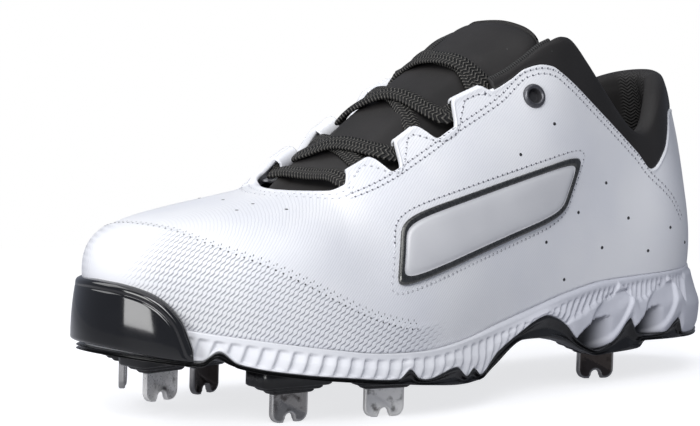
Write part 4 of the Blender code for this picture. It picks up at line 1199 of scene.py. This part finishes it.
ridge = (sideways / BRAID_COLUMN + 10.25).wave() * 0.5 + 0.5
fleck = herring.between(0.3, 0.9) * (0.35 + 0.65 * ridge)
braid.shade(fleck, (0.006, 0.006, 0.006), (0.135, 0.128, 0.116), Roughness=0.6 + fleck * 0.15)
braid.relief(herring * 0.22 + ridge * 0.12)
lace = tube("lace_braid", lace_loops, [braid],
            {"lengthways": np.repeat(length_mark, LACE_ROUND), "sideways": np.tile(flat, count)})
settle(lace, "lace", "lace_bar_front", "lace_cross_front", "lace_cross_middle", "lace_bar_top")

# Insole: a thin foam sock under the foot, covered in dark brushed cloth. Its section is given as
# distance in from the feather line and height over it.
INSOLE_THICK = 3.5
INSOLE_EDGE = WALL + 1.2
INSOLE_CUTS = 240
BED_INSET = 9.0
INSOLE_SECTION = ((BED_INSET, INSOLE_THICK), (INSOLE_EDGE + 2.0, INSOLE_THICK),
                  (INSOLE_EDGE + 0.5, INSOLE_THICK - 0.4), (INSOLE_EDGE, INSOLE_THICK - 1.2),
                  (INSOLE_EDGE, 0.3), (BED_INSET, 0.3))
sock_cloth = Finish("sock_cloth", Base_Color=(0.04, 0.04, 0.042), Roughness=0.95)
nap = sock_cloth.noise(2.2, 4.0)
sock_cloth.shade(nap, (0.022, 0.022, 0.024), (0.07, 0.07, 0.074))
sock_cloth.relief(nap * 0.2)
s = np.linspace(0, 1, INSOLE_CUTS, endpoint=False)
plan, out = outline(s)
level = profile(FEATHER_LINE, plan[:, 0])
rings = [np.column_stack([plan - out * inset, level + lift]) for inset, lift in INSOLE_SECTION]
settle(build("insole_sock", *stacked(rings), [sock_cloth]), "insole", "insole")

# Midsole: white moulded foam under the upper. Its side is ribbed, and waves with deep leaf-shaped
# scoops are sculpted into it round the heel; their hollows are painted dark as shade, and the foam is painted
# darker towards the heel.
HEEL_LIP = ((-140, 0.3), (-112, 0.5), (-85, 1.0), (-60, 1.3), (140, 1.3))
RIB_DEPTH = 1.2
WAVE_RISE = 0.9
MID_AROUND = 1800
MID_ROWS = 34
MIDSOLE_LOW = ((-145, 15.2), (-108, 15.6), (-101, 16.4), (-99.7, 19.0), (-98.3, 22.0), (-95.9, 21.0),
               (-90, 17.6), (-82, 17.0), (-74.6, 18.4), (-72.9, 21.4), (-71.2, 24.0), (-69.6, 23.2),
               (-63.7, 17.6), (-54.5, 13.4), (-49, 15.0), (-42.5, 18.4), (-36.5, 23.8), (-31.4, 26.4),
               (-25.5, 27.8), (-20.6, 27.0), (-10.7, 23.4), (3.4, 17.6), (13, 11.4), (17, 14.0),
               (21, 11.8), (27, 15.4), (42, 12.9), (46, 13.6), (50, 16.8), (55, 14.0), (74, 15.7),
               (89, 17.4), (106, 20.8), (110.5, 24.6), (114.5, 21.4), (140, 25.0))
# Height of the joint between foam and plate inside their edge.
PLATE_MIDDLE = ((-145, 16.6), (-76, 16.6), (-46, 18.6), (-26, 23.0), (-10, 21.4), (10, 15.2), (30, 14.2),
                (55, 15.6), (80, 17.8), (110, 22.4), (140, 25.6))
FLARE = ((-140, 3.9), (-115, 3.8), (-80, 2.8), (-40, 1.6), (40, 1.4), (85, 1.2), (108, 0.3), (140, 0.2))
# Top of the smooth wave by distance from the heel's back; ribs fill the band above it.
WAVE_TOP = ((0, 36.8), (38, 36.8), (41, 35.0), (43, 31.0), (44.6, 28.0), (47, 31.0), (50, 35.0),
            (52.5, 36.6), (55.4, 34.4), (61.9, 32.8), (68.1, 30.2), (72.1, 30.0), (75.4, 31.8),
            (78, 34.4), (80.5, 36.2), (82.6, 33.0), (84.4, 31.8), (91.7, 30.6), (100.8, 27.4),
            (110.2, 24.0), (118, 12.0), (330, 0.0))
WAVE_FADE = ((0, 0.3), (40, 1.0), (105, 1.0), (112, 0.0))
# Ribs by distance from the heel's back: their pitch, slant and reach.
RIB_PITCHES = ((0, 2.7), (80, 2.7), (105, 3.3), (150, 4.3), (180, 5.1), (340, 5.1))
RIB_SLANT = ((0, 0.3), (70, 0.3), (105, 0.87), (130, 0.7), (165, 0.34), (340, 0.34))
RIB_BAND = ((0, 0.0), (34, 0.0), (48, 1.0), (284, 1.0), (291, 0.0))
BULGE = ((0.0, 0.0), (0.1, 0.1), (0.35, 0.55), (0.6, 1.0), (0.85, 0.9), (1.0, 0.6))
SEAT_GAP = 0.4
ARCH_SINK = ((-90, 0.0), (-40, 0.9), (-10, 0.9), (20, 0.0))
# Scoops: middle by distance and height, half sizes, fade of the depth and of its painted shade. Leaves:
# middle, direction, half sizes.
SCOOPS = ((86.5, 14.0, 20.0, 11.2, 84.0, 95.0), (58.5, 16.5, 15.5, 10.9, 57.0, 67.0))
LEAVES = ((88.0, 24.0, -0.81, 0.585, 18.0, 7.2), (60.5, 26.0, -0.765, 0.645, 15.0, 7.0))
SCOOP_DEPTH = 5.0
LEAF_DEPTH = 1.3


def heel_distance(s):
    """Distance along the sole's edge from the heel's back, on either side."""
    run = np.linspace(0, 1, EVEN_CUTS)
    plan = outline(run)[0]
    arc = run_length(plan)
    here = np.interp(s, run, arc)
    return np.minimum(here, arc[-1] - here)


def rib_phase(along, z):
    """Count of ribs from the heel, with their slant."""
    steps = np.linspace(0, 340, 1700)
    pitch = profile(RIB_PITCHES, steps)
    counted = np.concatenate([[0.0], np.cumsum(0.2 / pitch[:-1])])
    slant = profile(RIB_SLANT, along)
    return np.interp(along + slant * (z - 28.0), steps, counted)


def wall(plan, out, step, z):
    """Points of a wall: rows at a step out from the feather line, at their heights."""
    return np.concatenate([plan[:, None] + out[:, None] * step[..., None], z[..., None]], axis=2)


foam_white = Finish("foam_white", Base_Color=(0.8, 0.81, 0.84), Roughness=0.5)
# Painted shade: the scoops' hollows are painted near-black, fading out into the white foam.
hollow_shade = foam_white.trait("hollow")
speck = foam_white.noise(2.0, 3.0)
shade = foam_white.blend(foam_white.noise(0.04, 2.0), (0.72, 0.73, 0.77), (0.79, 0.795, 0.82))
# Painted shade: the foam is painted darker towards the heel.
heel_shade = foam_white.along((-1.0, 0.0, 0.0)).between(-40.0, 60.0)
shade = foam_white.blend(heel_shade, shade, (0.6, 0.61, 0.67))
foam_white.shade(hollow_shade, shade, (0.008, 0.008, 0.011), Roughness=0.46 + speck * 0.12)
foam_white.relief(speck * 0.05)
s = np.linspace(0, 1, MID_AROUND, endpoint=False)
plan, out = outline(s)
level = profile(FEATHER_LINE, plan[:, 0]) - SEAT_GAP - profile(ARCH_SINK, plan[:, 0])
low = profile(MIDSOLE_LOW, plan[:, 0])
flare = profile(FLARE, plan[:, 0])
share = np.linspace(0, 1, MID_ROWS)
z = level[:, None] + (low - level)[:, None] * share
bulge = profile(BULGE, share)
along = heel_distance(s)[:, None]
wave_top = profile(WAVE_TOP, along)
on_wave = ease((wave_top - z) / 1.2 + 0.5)
tooth = np.mod(rib_phase(along, z), 1.0)
ribs = ease(tooth / 0.78) * ease((1 - tooth) / 0.22)
band = ease((level[:, None] - 1.2 - z) / 1.4) * ease((z - low[:, None] - 0.2) / 1.0) * (1 - on_wave)
band = band * profile(RIB_BAND, along)
stand = WAVE_RISE * on_wave * profile(WAVE_FADE, along) - RIB_DEPTH * ribs * band
# Share of painted shade in each scoop's hollow, carried to the foam's colour.
hollow_shade_mark = np.zeros(z.shape)
for middle, height, half_length, half_height, fade_from, fade_to in SCOOPS:
    oval = 1 - ((along - middle) / half_length) ** 2 - ((z - height) / half_height) ** 2
    deep = ease(oval / 0.06) * ease((along - fade_from) / (fade_to - fade_from))
    stand = stand - SCOOP_DEPTH * deep
    hollow_shade_mark = np.maximum(hollow_shade_mark, deep)
for middle, height, du, dv, half_length, half_width in LEAVES:
    u = (along - middle) * du + (z - height) * dv
    v = (along - middle) * dv - (z - height) * du
    lens = 1 - (u / half_length) ** 2 - np.abs(v) / half_width
    stand = stand - LEAF_DEPTH * ease(lens / 0.22)
lip = profile(HEEL_LIP, plan[:, 0])
side = wall(plan, out, lip[:, None] + flare[:, None] * bulge + stand, z)
seat = profile(FEATHER_LINE, plan[:, 0]) - 0.06
rings = [np.column_stack([plan - out * BED_INSET, level]), np.column_stack([plan - out * 0.7, seat]),
         np.column_stack([plan + out * 0.08, seat])]
rings += [side[:, k] for k in range(MID_ROWS)]
rings.append(np.column_stack([plan - out * BED_INSET, profile(PLATE_MIDDLE, plan[:, 0])]))
marks = np.concatenate([np.zeros(3 * MID_AROUND), hollow_shade_mark.T.ravel(), np.zeros(MID_AROUND)])
midsole = build("midsole_foam", *stacked(rings), [foam_white], {"hollow": marks})
settle(midsole, "midsole", "midsole")

# Outsole: a black nylon plate under the foam with a thin waved edge, stepped down to a moulded
# pedestal over each spike.
GAP = 0.35
LIP = 1.3
PLATE_THICK = 2.2
PLATE_EDGE = 1.3
PEDESTAL_DROP = 2.4
BLADE_HEIGHT = 9.2
PLATE_LOW = ((-145, 14.0), (-116, 14.0), (-95, 14.6), (-79, 15.0), (-76, 12.6), (-60, 11.8), (-54, 11.6),
             (-46, 14.0), (-36, 18.0), (-26, 20.0), (-12, 20.6), (6, 13.2), (14, 9.8), (22, 9.4),
             (42, 11.0), (58, 12.8), (80, 15.0), (104, 18.8), (108, 20.6), (111, 22.4), (114, 19.8),
             (140, 23.6))
TOE_STEP = ((-140, 0.0), (100, 0.0), (116, 2.2), (140, 2.4))
# Each spike: place along and across, turn in degrees, height of the tip, and how bright its steel is painted
# to catch the light.
SPIKES = {
    "toe_outer": (111.0, -1.5, 5.0, 5.4, 0.9), "toe_inner": (103.5, -30.0, 48.0, 5.4, 0.3),
    "ball_outer": (82.6, 27.9, -6.0, 0.0, 0.3), "ball_inner": (68.0, -31.0, 12.0, 0.0, 0.0),
    "waist_outer": (49.5, 36.8, -17.0, 0.0, 1.0), "waist_inner": (26.0, -28.0, 6.0, 0.0, 0.4),
    "heel_outer": (-72.4, 19.0, -22.0, 0.0, 0.0), "heel_inner": (-110.0, -14.0, 24.0, 0.0, 0.3),
}
# Steps of a pedestal: length, width and share of the drop.
PEDESTAL_STEPS = ((27.0, 13.0, 0.0), (22.0, 10.0, 0.5), (17.0, 6.4, 1.0))
# Section of the plate's edge, hollow between two beads: step out from the foam and share of the way down.
PLATE_SECTION = ((-2.4, 0.0), (0.1, 0.0), (0.5, 0.06), (0.5, 0.16), (0.0, 0.26), (-0.7, 0.45),
                 (-0.8, 0.62), (-0.3, 0.78), (0.5, 0.86), (0.55, 0.94), (0.0, 1.0), (-3.2, 1.0))
PLATE_AROUND = 900
black_nylon = Finish("black_nylon", Base_Color=(0.012, 0.012, 0.013), Roughness=0.32, Specular_IOR_Level=0.6)
spark = black_nylon.noise(2.4, 3.0)
scuff = black_nylon.noise(0.25, 5.0).between(0.55, 0.75)
black_nylon.shade(scuff * 0.4, (0.003, 0.003, 0.0033), (0.014, 0.013, 0.013),
                  Roughness=0.12 + spark * 0.12 + scuff * 0.12)
black_nylon.relief(spark * 0.06 + scuff * 0.05)


def turned(points, x, y, angle):
    """Plan points turned about z and moved to a place; any height is kept."""
    c, s = math.cos(math.radians(angle)), math.sin(math.radians(angle))
    return [(x + c * p[0] - s * p[1], y + s * p[0] + c * p[1], *p[2:]) for p in points]


def block_plan(length, width, corner):
    """Plan of a block with round corners."""
    plan = []
    for quarter, (cx, cy) in enumerate(((1, 1), (-1, 1), (-1, -1), (1, -1))):
        for step in range(5):
            a = math.radians(90 * quarter + 22.5 * step)
            x = cx * (length / 2 - corner) + corner * math.cos(a)
            y = cy * (width / 2 - corner) + corner * math.sin(a)
            plan.append((x, y))
    return plan


s = np.linspace(0, 1, PLATE_AROUND, endpoint=False)
plan, out = outline(s)
low = profile(MIDSOLE_LOW, plan[:, 0]) - 0.05
bottom = np.minimum(profile(PLATE_LOW, plan[:, 0]), low - PLATE_EDGE)
middle = profile(PLATE_MIDDLE, plan[:, 0])
flare = profile(FLARE, plan[:, 0])
toe = profile(TOE_STEP, plan[:, 0])
edge = LIP + 0.6 * flare + toe
rings = [np.column_stack([plan - out * BED_INSET, middle - GAP])]
for step_out, part in PLATE_SECTION:
    rings.append(np.column_stack([plan + out * (edge + step_out)[:, None], low + (bottom - low) * part]))
rings.append(np.column_stack([plan - out * BED_INSET, middle - GAP - PLATE_THICK]))
points, faces = stacked(rings)
for px, py, angle, tip, _ in SPIKES.values():
    head = tip + BLADE_HEIGHT + GAP
    block = []
    level = float(profile(PLATE_MIDDLE, px)) + 1.0
    for length, width, share in PEDESTAL_STEPS:
        floor_z = head + (1 - share) * PEDESTAL_DROP
        corner = min(width * 0.3, 2.6)
        for shrink, height in ((0.0, level), (0.0, floor_z + 0.5), (0.5, floor_z)):
            ring = [(x, y, height) for x, y in block_plan(length - 2 * shrink, width - 2 * shrink, corner)]
            block.append(turned(ring, px, py, angle))
        level = floor_z
    faces += [[len(points) + k for k in f] for f in loops_to_faces(len(block), len(block[0]))]
    points = np.concatenate([points, *block])
outsole = build("outsole_plate", points, faces, [black_nylon])
settle(outsole, "outsole", "outsole")

# Toe guard: a glossy black wall moulded round the toe, with a raised bead along its upper and
# outer edges and a groove inside it.
GUARD_THICK = 2.2
GUARD_OFFSET = 2.6
# Height of the wall's top and rise of its foot over the foam, by share of its run.
GUARD_TOP = ((0.0, 25.0), (0.02, 28.8), (0.05, 33.6), (0.1, 38.0), (0.15, 40.8), (0.2, 42.5), (0.27, 43.9),
             (0.35, 44.7), (0.45, 45.0), (0.6, 44.4), (0.8, 43.4), (1.0, 42.6))
GUARD_FOOT = ((0.0, 0.0), (0.1, 0.2), (0.25, 0.7), (0.45, 1.1), (1.0, 1.3))
GUARD_RUN = ("toe_corner_outer", "toe_side_inner", -0.05, -0.35)
GUARD_CUTS = 300
GUARD_ROWS = 90
GUARD_CORNER = 5.0
GUARD_ROUND = (1.5, 1.3)
# Bead and groove: height or depth, place from the edge, and width of the ramp.
GUARD_BEAD = (0.25, 2.5, 0.6)
GUARD_GROOVE = (0.35, 2.9, 0.4)
GUARD_BEAD_FADE = ((0.0, 1.0), (0.4, 1.0), (0.65, 0.15), (1.0, 0.15))
gloss_black = Finish("gloss_black", Base_Color=(0.008, 0.008, 0.009), Roughness=0.14,
                     Coat_Weight=0.5, Coat_Roughness=0.06)
ripple = gloss_black.noise(0.12, 2.0)
gloss_black.shade(ripple, (0.004, 0.004, 0.0045), (0.008, 0.008, 0.009),
                  Roughness=0.05 + gloss_black.noise(1.6, 4.0) * 0.08)
gloss_black.relief(ripple * 0.015)
first, last, before, after = GUARD_RUN
begin = STATION[first] + before * (STATION[first] - STATION["toe_side_outer"])
end = STATION[last] + after * (STATION[last] - STATION["toe_corner_inner"])
run = np.linspace(begin, end, GUARD_CUTS)
share = np.linspace(0, 1, GUARD_CUTS)
plan, out = outline(run)
foot_z = profile(FEATHER_LINE, plan[:, 0])
low = profile(MIDSOLE_LOW, plan[:, 0]) + profile(GUARD_FOOT, share)
arc = run_length(plan)
drop = GUARD_CORNER * (1 - rounded(arc[-1] - arc, GUARD_CORNER))
high = np.maximum(profile(GUARD_TOP, share) - drop, low + 0.6)
low = np.minimum(low + drop, high - 0.6)
rows = np.linspace(0, 1, GUARD_ROWS)
z = low[:, None] + (high - low)[:, None] * rows
from_top = np.full(z.shape, 1e6)
for a, h in zip(arc, high):
    from_top = np.minimum(from_top, np.hypot(arc[:, None] - a, z - h))
from_edge = np.minimum(from_top, (arc[-1] - arc)[:, None])
middle = 4 * rows * (1 - rows) * np.clip((high - low) / 18.0, 0, 1)[:, None]
rise, width, ramp = GUARD_BEAD
sink, groove, half = GUARD_GROOVE
bead = rise * ease((width - from_edge) / ramp) - sink * np.exp(-((from_edge - groove) / half) ** 2)
bead = bead * profile(GUARD_BEAD_FADE, share)[:, None]
round_top = rounded(from_edge, GUARD_ROUND[0])
round_low = rounded(z - low[:, None], GUARD_ROUND[1])
lean = np.clip((z - foot_z[:, None] + 12.0) / 25.0, 0, 1.2) - 0.12 * (z - 34.0)
front = GUARD_OFFSET + lean + (GUARD_THICK + bead + 0.5 * middle) * np.minimum(round_top, round_low)
rear = GUARD_OFFSET + lean - 0.6
guard_loops = np.concatenate([wall(plan, out, front, z), wall(plan, out, rear, z)[:, ::-6]], axis=1)
settle(tube("toe_guard_wall", guard_loops, [gloss_black]), "toe_guard", "toe_guard")

# Spikes: pressed steel blades with two round prongs and a notch between, moulded into the
# pedestals; their edges are broken. Each blade's steel is painted lighter or darker by how it catches the
# light, and its edges carry painted highlights.
BLADE_WIDTH = 14.0
BLADE_THICK = 2.0
PRONG_RADIUS = 3.2
NOTCH_RADIUS = 1.8
NOTCH_MIDDLE = 1.2
PRONG_FLAT = 1.4
# Section through a blade's edge: inset, side as a share of half its thickness, and strength of the painted
# highlight on the rim.
BLADE_SECTION = ((0.9, -0.84, 0.0), (0.65, -1.0, 0.6), (0.3, -1.0, 1.0), (0.0, -0.7, 1.0), (0.0, 0.7, 1.0),
                 (0.3, 1.0, 1.0), (0.65, 1.0, 0.6), (0.9, 0.84, 0.0))
steel = Finish("pressed_steel", Base_Color=(0.55, 0.55, 0.56), Roughness=0.3, Metallic=1.0)
grain = steel.noise(1.2, 5.0)
stain = steel.noise(0.3, 4.0).between(0.5, 0.72)
painted_blade_light = steel.trait("polish")
# Painted light: each blade's steel is painted from dark to near-white, and made less metallic, by how it
# should catch the light.
tone = steel.blend(painted_blade_light, (0.075, 0.064, 0.058), (0.94, 0.93, 0.91))
tone = steel.blend(stain * 0.8, tone, (0.05, 0.042, 0.038))
# Painted highlight: the broken edges are painted bright, more so on the brighter blades.
tone = steel.blend(steel.trait("rim") * (0.45 + painted_blade_light * 0.55), tone, (0.85, 0.84, 0.82))
steel.cover(Base_Color=tone, Roughness=0.08 + grain * 0.12 + stain * 0.1 + painted_blade_light * 0.16,
            Metallic=1.0 - painted_blade_light * 0.75)
steel.relief(grain * 0.05)


def blade_outline(inset):
    """Outline of a blade, drawn in by an inset, from its head down round both prongs."""
    half = BLADE_WIDTH / 2 - inset
    prong = PRONG_RADIUS - inset
    middle = BLADE_WIDTH / 2 - PRONG_RADIUS
    points = [(half, BLADE_HEIGHT), (half, PRONG_RADIUS)]
    for turn in np.radians(range(-10, -90, -10)):
        points.append((middle + prong * math.cos(turn), PRONG_RADIUS + prong * math.sin(turn)))
    inner = middle - PRONG_FLAT
    points += [(middle, inset), (inner + inset, inset), (NOTCH_RADIUS + 0.4 + inset, 0.6 + inset * 0.5)]
    notch = NOTCH_RADIUS + inset
    for turn in np.radians(range(0, 91, 15)):
        points.append((notch * math.cos(turn), NOTCH_MIDDLE + notch * math.sin(turn)))
    return points + [(-x, z) for x, z in reversed(points[:-1])]


for name, (px, py, angle, tip, polish) in SPIKES.items():
    rings = []
    for inset, side, _ in BLADE_SECTION:
        ring = [(x, side * BLADE_THICK / 2, z + tip) for x, z in blade_outline(inset)]
        rings.append(turned(ring, px, py, angle))
    edge_highlight_mark = np.repeat([mark for _, _, mark in BLADE_SECTION], len(ring))
    blade_light_mark = np.full(len(edge_highlight_mark), polish)
    blade = tube("blade_" + name, rings, [steel], {"rim": edge_highlight_mark, "polish": blade_light_mark})
    blade.data.set_sharp_from_angle(angle=math.radians(35))
    settle(blade, "spike", "spike_" + name)
